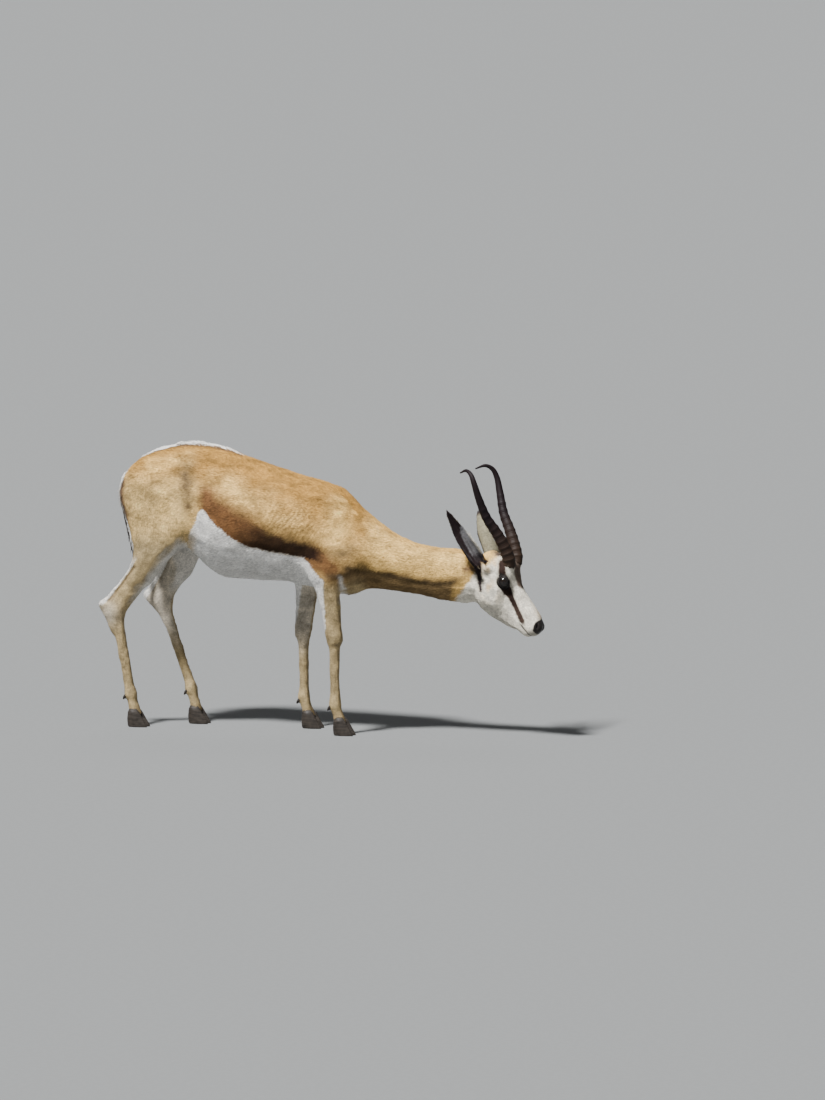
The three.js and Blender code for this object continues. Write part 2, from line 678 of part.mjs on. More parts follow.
function makeDewclaw(leg, outer, skin) {
  const [x, y, z] = leg.fetlock;
  const side = leg.side * (y + (outer ? 8.5 : -8.5));
  const line = [[x - 8, side, z - 5], [x - 15, side, z - 10], [x - 19, side, z - 17]];
  const sizeAt = (t) => [dewclawRadius * (1 - 0.62 * t), dewclawRadius * (1 - 0.7 * t)];
  const claw = sweptSolid(line, [0, 1], 6, sizeAt, new THREE.Vector3(0, 1, 0));
  return largest(claw.subtract(skin));
}

// Assembly
const springbok = new THREE.Group();
const fleshFinish = { roughness: 0.9, metalness: 0 };
const hardFinish = { roughness: 0.45, metalness: 0 };

function addPart(name, solid, colour, finish) {
  const { vertProperties, triVerts } = solid.getMesh();
  const geometry = new THREE.BufferGeometry();
  geometry.setAttribute('position', new THREE.BufferAttribute(Float32Array.from(vertProperties), 3));
  geometry.setIndex(new THREE.BufferAttribute(Uint32Array.from(triVerts), 1));
  geometry.computeVertexNormals();
  const mesh = new THREE.Mesh(geometry, new THREE.MeshStandardMaterial({ color: colour, ...finish }));
  mesh.name = name;
  springbok.add(mesh);
}

const head = makeHead();
const trunk = makeTrunk();
addPart('head', head, colours.white, fleshFinish);
addPart('neck', makeNeck(), colours.paleFawn, fleshFinish);
addPart('trunk', trunk, colours.fawn, fleshFinish);

const headSkin = inflate(head, socketClearance);
const sides = { left: 1, right: -1 };
for (const [name, side] of Object.entries(sides)) {
  addPart(`eye_${name}`, eyeBall(side, eyeRadius), colours.eye, { roughness: 0.08, metalness: 0 });
  addPart(`horn_${name}`, makeHorn(side, headSkin), colours.horn, hardFinish);
  addPart(`ear_${name}`, makeEar(ears[name], headSkin), colours.ear, fleshFinish);
}

// Adds a leg with its claws and dewclaws.
function addLeg(name, leg, solid) {
  addPart(name, solid, colours.paleFawn, fleshFinish);
  const skin = inflate(solid, socketClearance);
  for (const place of ['inner', 'outer']) {
    const outer = place === 'outer';
    addPart(`${name}_claw_${place}`, makeClaw(leg, outer), colours.hoof, hardFinish);
    addPart(`${name}_dewclaw_${place}`, makeDewclaw(leg, outer, skin), colours.hoof, hardFinish);
  }
}

const hindquarters = [trunk];
for (const name of Object.keys(sides)) {
  addLeg(`foreleg_${name}`, forelegs[name], makeForeleg(forelegs[name]));
  const hindleg = makeHindleg(hindlegs[name]);
  addLeg(`hindleg_${name}`, hindlegs[name], hindleg);
  hindquarters.push(hindleg);
}
addPart('tail', makeTail(surroundings(hindquarters, tailClearance)), colours.tuft, fleshFinish);

// The origin is the middle of the box that the whole animal fills, at the level of the soles.
const bounds = new THREE.Box3().setFromObject(springbok);
const middle = bounds.getCenter(new THREE.Vector3());
springbok.position.set(-middle.x, -middle.y, -bounds.min.z);
springbok.updateMatrixWorld(true);

export default springbok;
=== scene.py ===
# Springbok: skin, coat, eyes, horns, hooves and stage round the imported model.
# Lengths in the shape functions are millimetres in the body frame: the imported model's own axes, with
# x counted from behind the shoulders. model_metres and body_millimetres change between the two.
import itertools
import math

import bmesh
import bpy
import numpy as np
from bpy.props import FloatProperty, FloatVectorProperty, IntProperty, PointerProperty
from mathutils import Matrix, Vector
from mathutils.bvhtree import BVHTree


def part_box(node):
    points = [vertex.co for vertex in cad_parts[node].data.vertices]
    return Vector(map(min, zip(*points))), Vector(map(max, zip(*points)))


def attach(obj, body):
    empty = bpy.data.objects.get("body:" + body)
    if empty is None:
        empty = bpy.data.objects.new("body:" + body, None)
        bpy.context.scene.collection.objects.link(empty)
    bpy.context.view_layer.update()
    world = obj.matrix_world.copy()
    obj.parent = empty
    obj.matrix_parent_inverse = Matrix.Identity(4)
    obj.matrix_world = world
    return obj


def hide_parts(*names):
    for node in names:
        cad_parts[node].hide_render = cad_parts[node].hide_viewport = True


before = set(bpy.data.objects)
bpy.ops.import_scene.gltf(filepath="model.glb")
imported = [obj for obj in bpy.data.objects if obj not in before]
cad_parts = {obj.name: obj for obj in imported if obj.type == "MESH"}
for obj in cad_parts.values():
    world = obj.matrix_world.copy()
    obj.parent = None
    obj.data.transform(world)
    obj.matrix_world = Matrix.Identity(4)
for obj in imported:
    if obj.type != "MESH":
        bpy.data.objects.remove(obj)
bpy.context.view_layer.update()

bl_info = {
    "name": "Springbok looks",
    "version": (1, 0, 0),
    "blender": (4, 5, 0),
    "location": "3D View > Sidebar > Springbok",
    "description": "Makes the skin, coat, eyes, horns and hooves of a life-size springbok",
    "category": "Object",
}

# Head frame: along the face from the poll, sideways, and square to the face
POLL = np.array([770.0, 0.0, 500.0])
FACE_PITCH = math.radians(58)
FACE_AHEAD = np.array([math.cos(FACE_PITCH), 0.0, -math.sin(FACE_PITCH)])
FACE_UP = np.array([math.sin(FACE_PITCH), 0.0, math.cos(FACE_PITCH)])
EYE_CENTRE = (76.0, 37.0, 22.0)
EYE_OPENING_RADIUS = 17.5
EYE_BALL_RADIUS = 17.1
EYE_BULGE = 0.7
LID_HALF_LENGTH = 15.4
UPPER_LID = 10.6
LOWER_LID = 8.4
SIDES = {"left": 1, "right": -1}

# Centre lines in the side view, from the top of each leg to the sole
LEG_LINES = {
    "foreleg_left": (1, [(208, 452), (193, 270), (196, 86), (209, 40), (222, 0)]),
    "foreleg_right": (-1, [(312, 458), (337, 276), (338, 86), (352, 40), (366, 0)]),
    "hindleg_left": (1, [(-126, 541), (-229, 342), (-142, 98), (-129, 43), (-118, 0)]),
    "hindleg_right": (-1, [(-163, 540), (-317, 321), (-275, 94), (-263, 42), (-251, 0)]),
}
LEG_SIDEWAYS = {"foreleg": 67, "hindleg": 66}

# One claw: heights above the sole, and its length, half width and place ahead of the sole there
CLAW_HEIGHTS = [0, 5, 22, 42, 52]
CLAW_LENGTHS = [54.7, 57, 47.9, 34, 20]
CLAW_HALF_WIDTHS = [10.5, 11.2, 11, 9.2, 3.5]
CLAW_SHIFTS = [2, 0, -6, -11, -13]
CLAW_OFFSET = 12.2
DEWCLAW_OFFSET = 8.5
DEWCLAW_HALF_WIDTH = 6.2

TAIL_LINE = [
    (-276, 0, 712), (-306, 0, 702), (-320, 0, 668), (-320, 0, 634), (-313, 0, 594),
    (-304, 0, 556), (-292, 0, 512), (-281, 0, 470), (-278, 0, 432),
]
TAIL_HALF_WIDTHS = [15, 14, 12, 10, 8.5, 8, 7, 6, 2.5]
TAIL_RINGS = 44
TAIL_SIDES = 16
HORN_LINE = [
    (827, 20, 472), (841, 29, 500), (830, 40, 543), (812, 53, 584), (789, 70, 626), (771, 88, 684),
    (760, 94, 724), (749, 89, 747), (732, 78, 757), (708, 62, 749),
]
HORN_BASE_WIDTH = 17.0
HORN_BASE_DEPTH = 18.5
HORN_SIZE_PLACES = [0, 0.2, 0.43, 0.6, 0.78, 0.9, 1]
HORN_SIZES = [1, 0.94, 0.74, 0.61, 0.44, 0.29, 0.09]
HORN_RINGS = 11
HORN_RINGED_FROM = 0.06
HORN_RINGED_LENGTH = 0.66
EARS = {                         # root, tip and the way the cup opens, counted outwards
    "right": ((761, 43, 487), (680, 96, 645), (0.52, 0.84, 0.16)),
    "left": ((768, 42, 488), (702, 100, 627), (0.12, 0.98, 0.1)),
}
EAR_HALF_WIDTH = 22.0
EAR_SIZE_PLACES = [0, 0.13, 0.3, 0.48, 0.64, 0.8, 0.92, 1]
EAR_SIZES = [0.66, 0.89, 1, 0.95, 0.78, 0.52, 0.33, 0.06]
EAR_ROOT_CURL = 2.5
EAR_TIP_CURL = 0.75
EAR_BEND = 6.0

FLESH_NODES = ["head", "neck", "trunk", *LEG_LINES]
NECK_CUT = 640.0                 # where the fine skin of the head meets the coarser skin of the body
PHOTO_AZIMUTH = math.radians(20)
PHOTO_ELEVATION = math.radians(6)
PHOTO_CENTRE = (511.0, 498.7)    # the picture's middle, across and up, in the body frame
PHOTO_HEIGHT = 3.08              # metres of the animal's plane that the picture's height takes in
CAMERA_DISTANCE = 40.0
CAMERA_PLANE = 0.138             # metres from the body's middle towards the camera
LIGHTS = ((-22, 58, 9, 9.4), (60, 25, 40, 0.15), (190, 50, 30, 0.35))    # way round, way up, softness, power


def head_point(along, side, rise):
    """The body-frame point at a place in the head frame."""
    return POLL + along * FACE_AHEAD + rise * FACE_UP + np.array([0.0, side, 0.0])


def find_shift():
    """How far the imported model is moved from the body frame, in millimetres."""
    low, high = (np.array(corner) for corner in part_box("eye_right"))
    place = head_point(EYE_CENTRE[0], -EYE_CENTRE[1], EYE_CENTRE[2])
    return (low + high) / 2 * 1000 - place


SHIFT = find_shift()


def model_metres(points):
    return (np.asarray(points, float) + SHIFT) / 1000


def body_millimetres(points):
    return np.asarray(points, float) * 1000 - SHIFT


# Numbers and noise
LATTICE = np.random.default_rng(7).random((32, 32, 32))


def smooth_step(low, high, value):
    share = np.clip((value - low) / (high - low), 0, 1)
    return share * share * (3 - 2 * share)


def bell(value, width):
    """1 where the value is 0, fading out on both sides."""
    return np.exp(-((value / width) ** 2))


def drift(points, size):
    """Smooth noise from -1 to 1 with patches about `size` across."""
    place = np.asarray(points) / size
    cell = np.floor(place).astype(int)
    share = place - cell
    share = share * share * (3 - 2 * share)
    total = np.zeros(len(place))
    for corner in itertools.product((0, 1), repeat=3):
        weight = np.prod(np.where(corner, share, 1 - share), axis=1)
        index = (cell + corner) % 32
        total += weight * LATTICE[index[:, 0], index[:, 1], index[:, 2]]
    return 2 * total - 1


def unit(vectors):
    return vectors / np.maximum(np.linalg.norm(vectors, axis=-1, keepdims=True), 1e-9)


def mound(places, centre, radii):
    """A soft bump: 1 at the centre, fading out over the radii."""
    return np.exp(-(((places - centre) / radii) ** 2).sum(axis=1))


def near_line(first, second, start, end, half_start, half_end):
    """1 along a straight streak in a plane, fading out over its half width."""
    start, end = np.array(start, float), np.array(end, float)
    way = end - start
    share = ((first - start[0]) * way[0] + (second - start[1]) * way[1]) / (way @ way)
    held = np.clip(share, 0, 1)
    gap = np.hypot(first - start[0] - held * way[0], second - start[1] - held * way[1])
    return np.exp(-((gap / (half_start + (half_end - half_start) * held)) ** 2))


def blend(base, colour, share):
    return base + (np.asarray(colour) - base) * np.clip(share, 0, 1)[:, None]


def layered(base, *layers):
    """Lays colours or directions over a base, one after another, each with its own share."""
    for value, share in layers:
        base = blend(base, value, share)
    return base


def plain(colour, count):
    return np.tile(np.asarray(colour, float), (count, 1))


def head_frame(points):
    """Along the face, distance from the middle plane, and height over the face line."""
    offset = points - POLL
    return np.stack([offset @ FACE_AHEAD, np.abs(points[:, 1]), offset @ FACE_UP], axis=1)


def head_share(points):
    """0 on the neck, 1 on the head."""
    return smooth_step(-16, 20, 0.975 * (points[:, 0] - 752) - 0.223 * (points[:, 2] - 560) + 4)


def leg_place(points):
    """For each point: how far it belongs to a leg, its offset ahead of that leg's line, the line's
    direction downwards, and whether it is a foreleg."""
    x, y, z = points.T
    share = np.zeros(len(points))
    ahead = np.full(len(points), 999.0)
    down = np.tile([0.0, 0.0, -1.0], (len(points), 1))
    fore = x > 60
    for name, (side, line) in LEG_LINES.items():
        mine = (y * side > 0) & (fore == name.startswith("fore"))
        reaches, heights = np.array(line[::-1], float).T
        at = np.interp(z, heights, reaches)
        slope = (np.interp(z - 15, heights, reaches) - np.interp(z + 15, heights, reaches)) / 30
        ahead = np.where(mine, x - at, ahead)
        down[mine, 0] = slope[mine]
        low, high = (400, 470) if name.startswith("fore") else (500, 590)
        near = smooth_step(115, 75, np.abs(x - at))
        share = np.where(mine, smooth_step(high, low, z) * near, share)
    return share, ahead, unit(down), fore


# Markings of the body: heights (z) of the back, the top of the painted shade on the neck's lower side and
# the flank band by x, and the edges of the white behind the belly and behind the upper arm by z
BACK_X = [-250, 0, 200, 400]
BACK_Z = [770, 790, 725, 640]
UNDER_NECK_X = [340, 400, 470, 588, 647, 707]
UNDER_NECK_Z = [482, 477, 462, 442, 440, 450]
BAND_X = [-60, -36, 0, 50, 100, 160, 235, 285, 330]
BAND_TOP = [704, 697, 687, 660, 634, 590, 560, 544, 538]
BAND_BOTTOM = [636, 625, 584, 547, 524, 513, 502, 494, 480]
WHITE_EDGE_Z = [400, 480, 520, 552, 573, 590, 618, 630]
WHITE_EDGE_X = [-150, -128, -100, -86, -72, -62, -52, -40]
ARM_WHITE_Z = [286, 300, 380, 440, 450, 477, 503, 520]
ARM_WHITE_AHEAD = [-28, -19, -9, 0, -14, -37, -64, -92]
# The gap between the shank and the tendon behind it, in the side view
SHANK_GAPS = {"right": ((-338, 356), (-258, 452)), "left": ((-262, 372), (-208, 462))}
# Streaks in the side view: from and to (x, z), with the half width at each end
STREAKS = {
    # painted shade in the flank hollow
    "flank_hollow_shade": ((-102, 736), (-84, 632), 28, 18),
    # painted shade under the shoulder
    "shade_under_shoulder": ((330, 510), (392, 520), 25, 24),
    "thigh_shade": ((-196, 690), (-206, 600), 14, 18),
    # pale fawn streaks, partly painted highlight
    "pale_flank": ((20, 690), (96, 650), 26, 20),
    "pale_shoulder": ((344, 640), (352, 570), 34, 34),
    "pale_thigh": ((-150, 690), (-160, 610), 22, 22),
    "pale_rump": ((-200, 738), (-100, 762), 24, 20),
    "pale_nape": ((668, 512), (716, 492), 26, 24),
    "shoulder_fold": ((358, 666), (384, 655), 4, 3),
    "arm_front": ((296, 506), (340, 464), 22, 26),
    "arm_rear": ((262, 490), (344, 470), 15, 22),
    # painted shadow under the upper arm
    "shadow_under_arm": ((330, 448), (384, 452), 10, 14),
}
# Round patches: centre and radii
PATCHES = {
    # painted shade on the chest
    "chest": ((414, 60, 478), (36, 60, 30)),
    "neck_folds": ((450, 60, 578), (26, 60, 48)),
    "smoke": ((205, 0, 584), (110, 400, 36)),
    "right_hock": ((-340, 0, 318), (34, 400, 34)),
    "left_hock": ((-256, 0, 334), (34, 400, 34)),
    # partly the groin's darker skin, partly painted shadow between thigh and belly
    "groin_shade": ((-98, 0, 492), (20, 90, 26)),
    "ribs": ((212, 0, 590), (84, 400, 54)),
}


def streak(points, name):
    return near_line(points[:, 0], points[:, 2], *STREAKS[name])


def patch(points, name):
    return mound(points, *PATCHES[name])


def shank_gap(points, half_start, half_end):
    """1 in the hollow between each hind shank and its tendon."""
    x, y, z = points.T
    gap = near_line(x, z, *SHANK_GAPS["right"], half_start, half_end) * (y < 0)
    return gap + near_line(x, z, *SHANK_GAPS["left"], half_start, half_end) * (y > 0)


def rump_width(points):
    """Half width of the white patch that runs from the tail up onto the back."""
    top = np.interp(points[:, 0], [-300, -235, -150, -60, 20, 60], [58, 36, 21, 15, 9, 0])
    rear = np.interp(points[:, 2], [430, 520, 600, 700, 765], [14, 42, 60, 60, 42])
    behind = smooth_step(-222, -258, points[:, 0]) * smooth_step(765, 720, points[:, 2])
    return top + (np.maximum(rear, top) - top) * behind


def paint_fawn(points, side, wobble, clumps, paint):
    """The fawns of back, flank, thigh and shoulder, with brown painted shade in the flank hollow, under the
    shoulder and down the thigh, and pale streaks that are partly painted highlight.
    """
    x, _, z = points.T
    outer = smooth_step(30, 60, side)
    # Pale fawn streaks, partly painted highlight.
    pale = streak(points, "pale_flank") + 1.2 * streak(points, "pale_shoulder")
    pale += 0.5 * streak(points, "pale_thigh")
    pale += 0.8 * streak(points, "pale_rump")
    return layered(
        plain(paint.back, len(points)),
        (paint.flank, smooth_step(30, 135, np.interp(x, BACK_X, BACK_Z) - z + 22 * wobble)),
        (paint.thigh, smooth_step(-30, -110, x) * smooth_step(752, 645, z)),
        # Painted shade: brown in the flank hollow, under the shoulder and down the thigh.
        (paint.hollow, 0.85 * (streak(points, "flank_hollow_shade") * outer) * (1 + 0.5 * clumps)),
        (paint.hollow, 0.68 * (streak(points, "shade_under_shoulder") * outer) * (1 + 0.6 * clumps)),
        (paint.hollow, 0.22 * streak(points, "thigh_shade") * (side > 40)),
        (paint.pale, 0.6 * pale * (side > 30) * (1 + 0.6 * clumps)),
    )


def paint_neck(ground, points, side, wobble, clumps, paint):
    """The pale neck with painted shade on its lower side and on the chest, and the folds before the
    shoulder.
    """
    x, _, z = points.T
    outer = side > 20
    neck = smooth_step(385, 475, x + 12 * wobble)
    over_edge = z - np.interp(x, UNDER_NECK_X, UNDER_NECK_Z)
    # Painted shade on the neck's lower side.
    low_neck_shade = smooth_step(20, -8, over_edge + 6 * wobble) * smooth_step(350, 395, x)
    chest = patch(points, "chest")
    ground = layered(
        ground,
        (paint.neck, neck),
        (paint.back, 0.5 * smooth_step(34, 8, side) * neck),
        # Pale fawn on the nape, partly painted highlight.
        (paint.pale, 0.7 * streak(points, "pale_nape") * outer),
        # Painted shade: brown on the neck's lower side and the chest.
        (paint.hollow, 0.9 * low_neck_shade),
        (paint.hollow, 0.9 * chest * (1 + 0.4 * clumps)),
    )
    # Painted shade: darkens the chest and a line along the edge of the neck's lower side.
    neck_edge_shade = bell(over_edge + 6, 9) * low_neck_shade * outer
    ground = ground * (1 - 0.5 * np.maximum(chest, neck_edge_shade) * outer)[:, None]
    folds = np.sin((x + 0.5 * z) / 2.6 + 1.2 * drift(points, 40)) * patch(points, "neck_folds")
    return layered(
        ground,
        (paint.white, 0.45 * np.clip(folds, 0, 1) * outer),
        (paint.edge, 0.35 * np.clip(-folds, 0, 1) * outer),
        (paint.edge, 0.5 * streak(points, "shoulder_fold") * outer),
    )


def paint_band(ground, points, side, wobble, fine, clumps, paint):
    """The dark flank band: sharp below, smoky above, and drawn out to nothing at its ends."""
    x, _, z = points.T
    low = np.interp(x, BAND_X, BAND_BOTTOM) + 3 * fine
    high = np.interp(x, BAND_X, BAND_TOP) + 5 * wobble
    ends = smooth_step(-68, -34, x + 4 * fine) * smooth_step(322, 282, x + 6 * wobble)
    depth = (high - z) / np.maximum(high - low, 8)
    soft = smooth_step(-0.25, 0.5, depth + 0.1 * wobble)
    band = smooth_step(-3, 2, z - low) * soft * ends
    darkness = smooth_step(20, 180, x + 70 * (depth - 0.5) * smooth_step(40, 120, x) + 12 * clumps)
    band_colour = blend(plain(paint.band_rear, len(x)), paint.band_front, darkness)
    ground = ground + (band_colour - ground) * (band * 0.97)[:, None]
    smoke = patch(points, "smoke") * smooth_step(-0.4, 0.5, clumps)
    return blend(ground, paint.band_front, 0.3 * smoke * (side > 60) * (1 - band)), band, low


def white_marks(points, normals, side, fine, legs, band_low):
    """The white of belly, upper arm, shanks and groin, the tendon, and how far a place faces inwards."""
    x, y, z = points.T
    leg, ahead, down, fore = legs
    inside = -normals[:, 1] * np.sign(y)
    arm_limit = np.interp(z, ARM_WHITE_Z, ARM_WHITE_AHEAD) + 3 * fine
    behind_arm = smooth_step(4, -4, ahead - arm_limit)
    belly = smooth_step(2, -4, z - band_low)
    belly = belly * smooth_step(-3, 4, x - np.interp(z, WHITE_EDGE_Z, WHITE_EDGE_X) + 2 * fine)
    belly = belly * np.where(fore & (side > 44), behind_arm, smooth_step(356, 330, x))
    belly = belly * np.where(fore, 1, 1 - leg)
    arm = behind_arm * fore * smooth_step(288, 306, z) * smooth_step(505, 480, z)
    arm_front = near_line(ahead, z, (32, 372), (50, 446), 3.5, 6) * fore * smooth_step(30, 50, side)
    forward = -normals[:, 0] * down[:, 2] + normals[:, 2] * down[:, 0]
    shin = smooth_step(-0.05, 0.6, forward + 0.35 * inside) * smooth_step(606, 575, z)
    shin = shin * smooth_step(330, 400, z) * smooth_step(0, -40, x)
    gap_ahead = np.interp(z, [356, 460], [-46, -36])
    tendon = smooth_step(gap_ahead + 1, gap_ahead - 5, ahead)
    tendon = tendon * smooth_step(330, 350, z) * smooth_step(490, 450, z)
    groin = smooth_step(0.1, 0.5, inside) * smooth_step(440, 500, z) * smooth_step(620, 580, z)
    hock = patch(points, "right_hock") + patch(points, "left_hock") * (y > 0)
    brisket = smooth_step(46, 30, side) * smooth_step(-0.2, -0.6, normals[:, 2]) * smooth_step(366, 336, x)
    brisket = brisket * (x > -80) * (z > 380)
    belly_end = smooth_step(-0.1, -0.5, normals[:, 2]) * smooth_step(60, 30, side) * (x < 0) * (z > 380)
    hind = x < 0
    white = np.maximum.reduce([
        belly, arm, 0.75 * arm_front, 0.72 * shin * hind, 0.85 * tendon * (hind & (leg > 0.02)),
        0.9 * groin * hind, 0.35 * hock * hind, brisket, belly_end,
    ])
    return white, tendon, inside


def paint_rump(ground, points, normals, side, fine, leg, paint):
    """The white patch of the rump, with its brown border."""
    x, _, z = points.T
    past = side - (rump_width(points) + 2.5 * fine)
    on_top = np.where(x > -225, smooth_step(0.25, 0.5, normals[:, 2]), 1.0) * (x < 64) * (z > 440)
    rump = smooth_step(2, -3, past) * on_top * (x < 60) * (1 - leg * (x > -200))
    edge = bell(past - 4.5, 4.5) * on_top * (x < 40) * (z > 690)
    border = smooth_step(-2, 4, past) * smooth_step(34, 10, past) * smooth_step(-214, -240, x)
    border = border * smooth_step(716, 690, z) * smooth_step(520, 610, z)
    return layered(
        ground,
        (paint.edge, np.minimum(np.maximum(0.85 * edge, 1.2 * border), 1)),
        (paint.white, rump * smooth_step(60, 0, x)),
    )


def body_colour(points, normals, paint):
    """Coat colour of trunk, neck and legs."""
    x, _, z = points.T
    side = np.abs(points[:, 1])
    wobble = drift(points, 26)
    fine = drift(points, 7)
    clumps = drift(points * (0.45, 1, 1), 12)
    legs = leg_place(points)
    leg = legs[0]
    ground = paint_fawn(points, side, wobble, clumps, paint)
    ground = paint_neck(ground, points, side, wobble, clumps, paint)
    upper_arm = smooth_step(50, 75, side)
    arm = np.maximum(streak(points, "arm_front") * upper_arm, streak(points, "arm_rear") * upper_arm)
    ground = layered(
        ground,
        (paint.leg, leg),
        (paint.band_rear, np.minimum(1.3 * arm, 0.92)),
        # Painted shadow under the upper arm.
        (paint.hollow, 0.75 * (streak(points, "shadow_under_arm") * smooth_step(40, 60, side))),
    )
    ground, band, band_low = paint_band(ground, points, side, wobble, fine, clumps, paint)
    white, tendon, inside = white_marks(points, normals, side, fine, legs, band_low)
    pale_inside = 0.4 * smooth_step(0.2, 0.7, inside) * leg * smooth_step(180, 300, z)
    # Painted shade in the hollow between each hind shank and its tendon.
    gap = shank_gap(points, 9, 8) * smooth_step(0.3, 0.7, np.abs(normals[:, 1]))
    ground = layered(
        ground,
        (paint.white, np.maximum(white, pale_inside)),
        (paint.hollow, 0.6 * gap * (1 - tendon)),
        # The groin's darker skin, partly painted shadow between thigh and belly.
        (paint.hollow, 0.3 * patch(points, "groin_shade")),
    )
    ground = paint_rump(ground, points, normals, side, fine, leg, paint)
    ground = blend(ground, paint.band_rear, 0.3 * smooth_step(70, 34, z))
    ribbed = np.sin((x - 0.6 * z) / 2.4 + 5 * drift(points, 22)) * patch(points, "ribs")
    mottle = 0.1 * wobble + 0.14 * fine + 0.3 * clumps + 0.42 * ribbed * (1 - band)
    return ground * (1 + mottle * (1 - 0.65 * np.clip(white, 0, 1)))[:, None]


# Markings of the face, by place along it: the stripe from eye to mouth, and the dark forehead
STRIPE_ALONG = [80, 94, 106, 131, 160, 187, 208]
STRIPE_RISE = [20, 17, 14.5, 12.5, 8.5, 6, 4]
STRIPE_WIDTH_ALONG = [76, 90, 104, 122, 150, 190, 206]
STRIPE_HALF_WIDTH = [10, 12.5, 11, 7.5, 7, 7, 5]
FOREHEAD_ALONG = [30, 70, 96, 108, 122]
FOREHEAD_HALF_WIDTH = [26, 23, 19, 15, 0]
# Where the neck's fawn ends behind the jaw, by z
JAW_EDGE_Z = [385, 398, 419, 448, 491, 540]
JAW_EDGE_X = [676, 690, 710, 731, 755, 766]
# Round patches in the head frame: centre and radii
TEMPLE = ((20, 40, 14), (22, 30, 22))
CHEEK = ((66, 44, -28), (40, 18, 24))
# painted shade under the lower lid
UNDER_EYE_SHADE = ((104, 38, -7), (14, 20, 6))
MUZZLE_TOP = ((206, 0, 50), (26, 16, 10))
# Streaks in the head frame, along and rise: the brow, and the dark marks round the foot of the ear, which
# are partly the coat's own marks and partly painted shadow of the ear
BROW_STREAK = ((30, 44), (64, 28), 9, 10)
EAR_FOOT_PATCH = ((-8, -55), (8, -30), 13, 12)
EAR_FOOT_DARK = ((-20, -13), (14, -29), 13, 11)
EAR_FOOT_STREAK = ((14, -29), (66, -51), 9, 3)
EAR_FOOT_FRONT = ((-16, -8), (4, 7), 8, 4)


def face_colour(points, paint):
    """Coat colour of the head, nose and lips, with painted shade under the eye."""
    place = head_frame(points)
    along, side, rise = place.T
    wobble = drift(points, 16)
    fine = drift(points, 5)
    crown = smooth_step(22, -4, along + 8 * wobble) * smooth_step(-34, 0, rise)
    jaw_edge = np.interp(points[:, 2], JAW_EDGE_Z, JAW_EDGE_X)
    forehead = np.interp(along, FOREHEAD_ALONG, FOREHEAD_HALF_WIDTH) + 2 * wobble
    brow = near_line(along, rise, *BROW_STREAK) * (side > 20)
    middle = np.interp(along, STRIPE_ALONG, STRIPE_RISE)
    half = np.interp(along, STRIPE_WIDTH_ALONG, STRIPE_HALF_WIDTH)
    stripe = smooth_step(2.5, -2, np.abs(rise - middle) - half + 1.2 * fine)
    stripe = stripe * smooth_step(76, 84, along) * smooth_step(212, 198, along) * (side > 6)
    ground = layered(
        plain(paint.face, len(points)),
        (paint.neck, crown),
        (paint.neck, smooth_step(7, -7, points[:, 0] - jaw_edge + 6 * wobble)),
        (paint.flank, 0.8 * (mound(place, *TEMPLE) * smooth_step(-0.5, 0.3, wobble))),
        (paint.flank, 0.6 * (mound(place, *CHEEK) * smooth_step(-0.1, 0.5, wobble))),
        (paint.forehead, smooth_step(4, -4, side - forehead) * smooth_step(20, 36, rise)),
        (paint.stripe, np.minimum(2.2 * brow, 1)),
        # Painted shade under the lower lid.
        (paint.edge, 0.35 * mound(place, *UNDER_EYE_SHADE)),
        (paint.stripe, stripe),
        (paint.bare, smooth_step(9, 5.5, eye_rings(points)[0] + fine)),
        (paint.forehead, 0.12 * smooth_step(130, 180, along) * (rise > 0)),
        (paint.flank, 0.25 * mound(place, *MUZZLE_TOP)),
    )
    return ground * (1 + 0.16 * wobble + 0.16 * fine)[:, None]


def eye_axes(side):
    """For the eye of one side: the way it looks, and its long and upright axes across that way."""
    outward = unit(0.2 * FACE_AHEAD + 0.16 * FACE_UP + 0.95 * side * np.array([0.0, 1.0, 0.0]))
    corner = FACE_AHEAD - 0.16 * FACE_UP
    corner = unit(corner - (outward * corner).sum(axis=-1, keepdims=True) * outward)
    return outward, corner, np.cross(outward, corner) * side


def eye_rings(points):
    """Distance outside each point's nearest lid opening, in millimetres, and the direction to it."""
    side = np.sign(points[:, 1])[:, None]
    centre = POLL + EYE_CENTRE[0] * FACE_AHEAD + EYE_CENTRE[2] * FACE_UP
    offset = points - centre - side * np.array([0, EYE_CENTRE[1], 0])
    outward, corner, upward = eye_axes(side)
    way = unit(offset)
    run = (way * corner).sum(axis=1) * EYE_OPENING_RADIUS
    lift = (way * upward).sum(axis=1) * EYE_OPENING_RADIUS
    front = (way * outward).sum(axis=1)
    reach = np.clip(1 - (run / LID_HALF_LENGTH) ** 2, 0, None) ** 0.62
    limit = np.where(lift > 0, UPPER_LID, LOWER_LID) * reach
    past_corner = np.maximum(np.abs(run) - LID_HALF_LENGTH, 0)
    gap = np.hypot(np.maximum(np.abs(lift) - limit, 0), past_corner)
    inside = np.minimum(limit - np.abs(lift), LID_HALF_LENGTH - np.abs(run))
    signed = np.where(inside > 0, -inside, gap)
    radius = np.linalg.norm(offset, axis=1)
    signed = np.where(front > 0, signed, 60.0) + np.maximum(radius - EYE_OPENING_RADIUS - 4, 0)
    return signed, lift, way, radius, centre


def mouth_height(along):
    return np.interp(along, [200, 212, 240, 262], [-6, -4, 0, 4])


def bare_share(points):
    """Where the skin carries no hair: nose pad, nostrils, lips, and the rims of the eyes."""
    along, side, rise = head_frame(points).T
    start = np.interp(rise, [16, 34], [232, 215])
    ragged = 1.4 * drift(points, 5)
    nose = smooth_step(start, start + 5, along + ragged) * smooth_step(14, 19, rise + ragged) * (side < 27)
    lips = bell(rise - mouth_height(along), 2.4) * smooth_step(200, 208, along)
    rims = smooth_step(3.2, 1.6, eye_rings(points)[0]) * (along > 40) * (along < 120)
    return np.clip(np.maximum.reduce([nose, lips * (along < 262), rims]), 0, 1) * (points[:, 0] > 700)


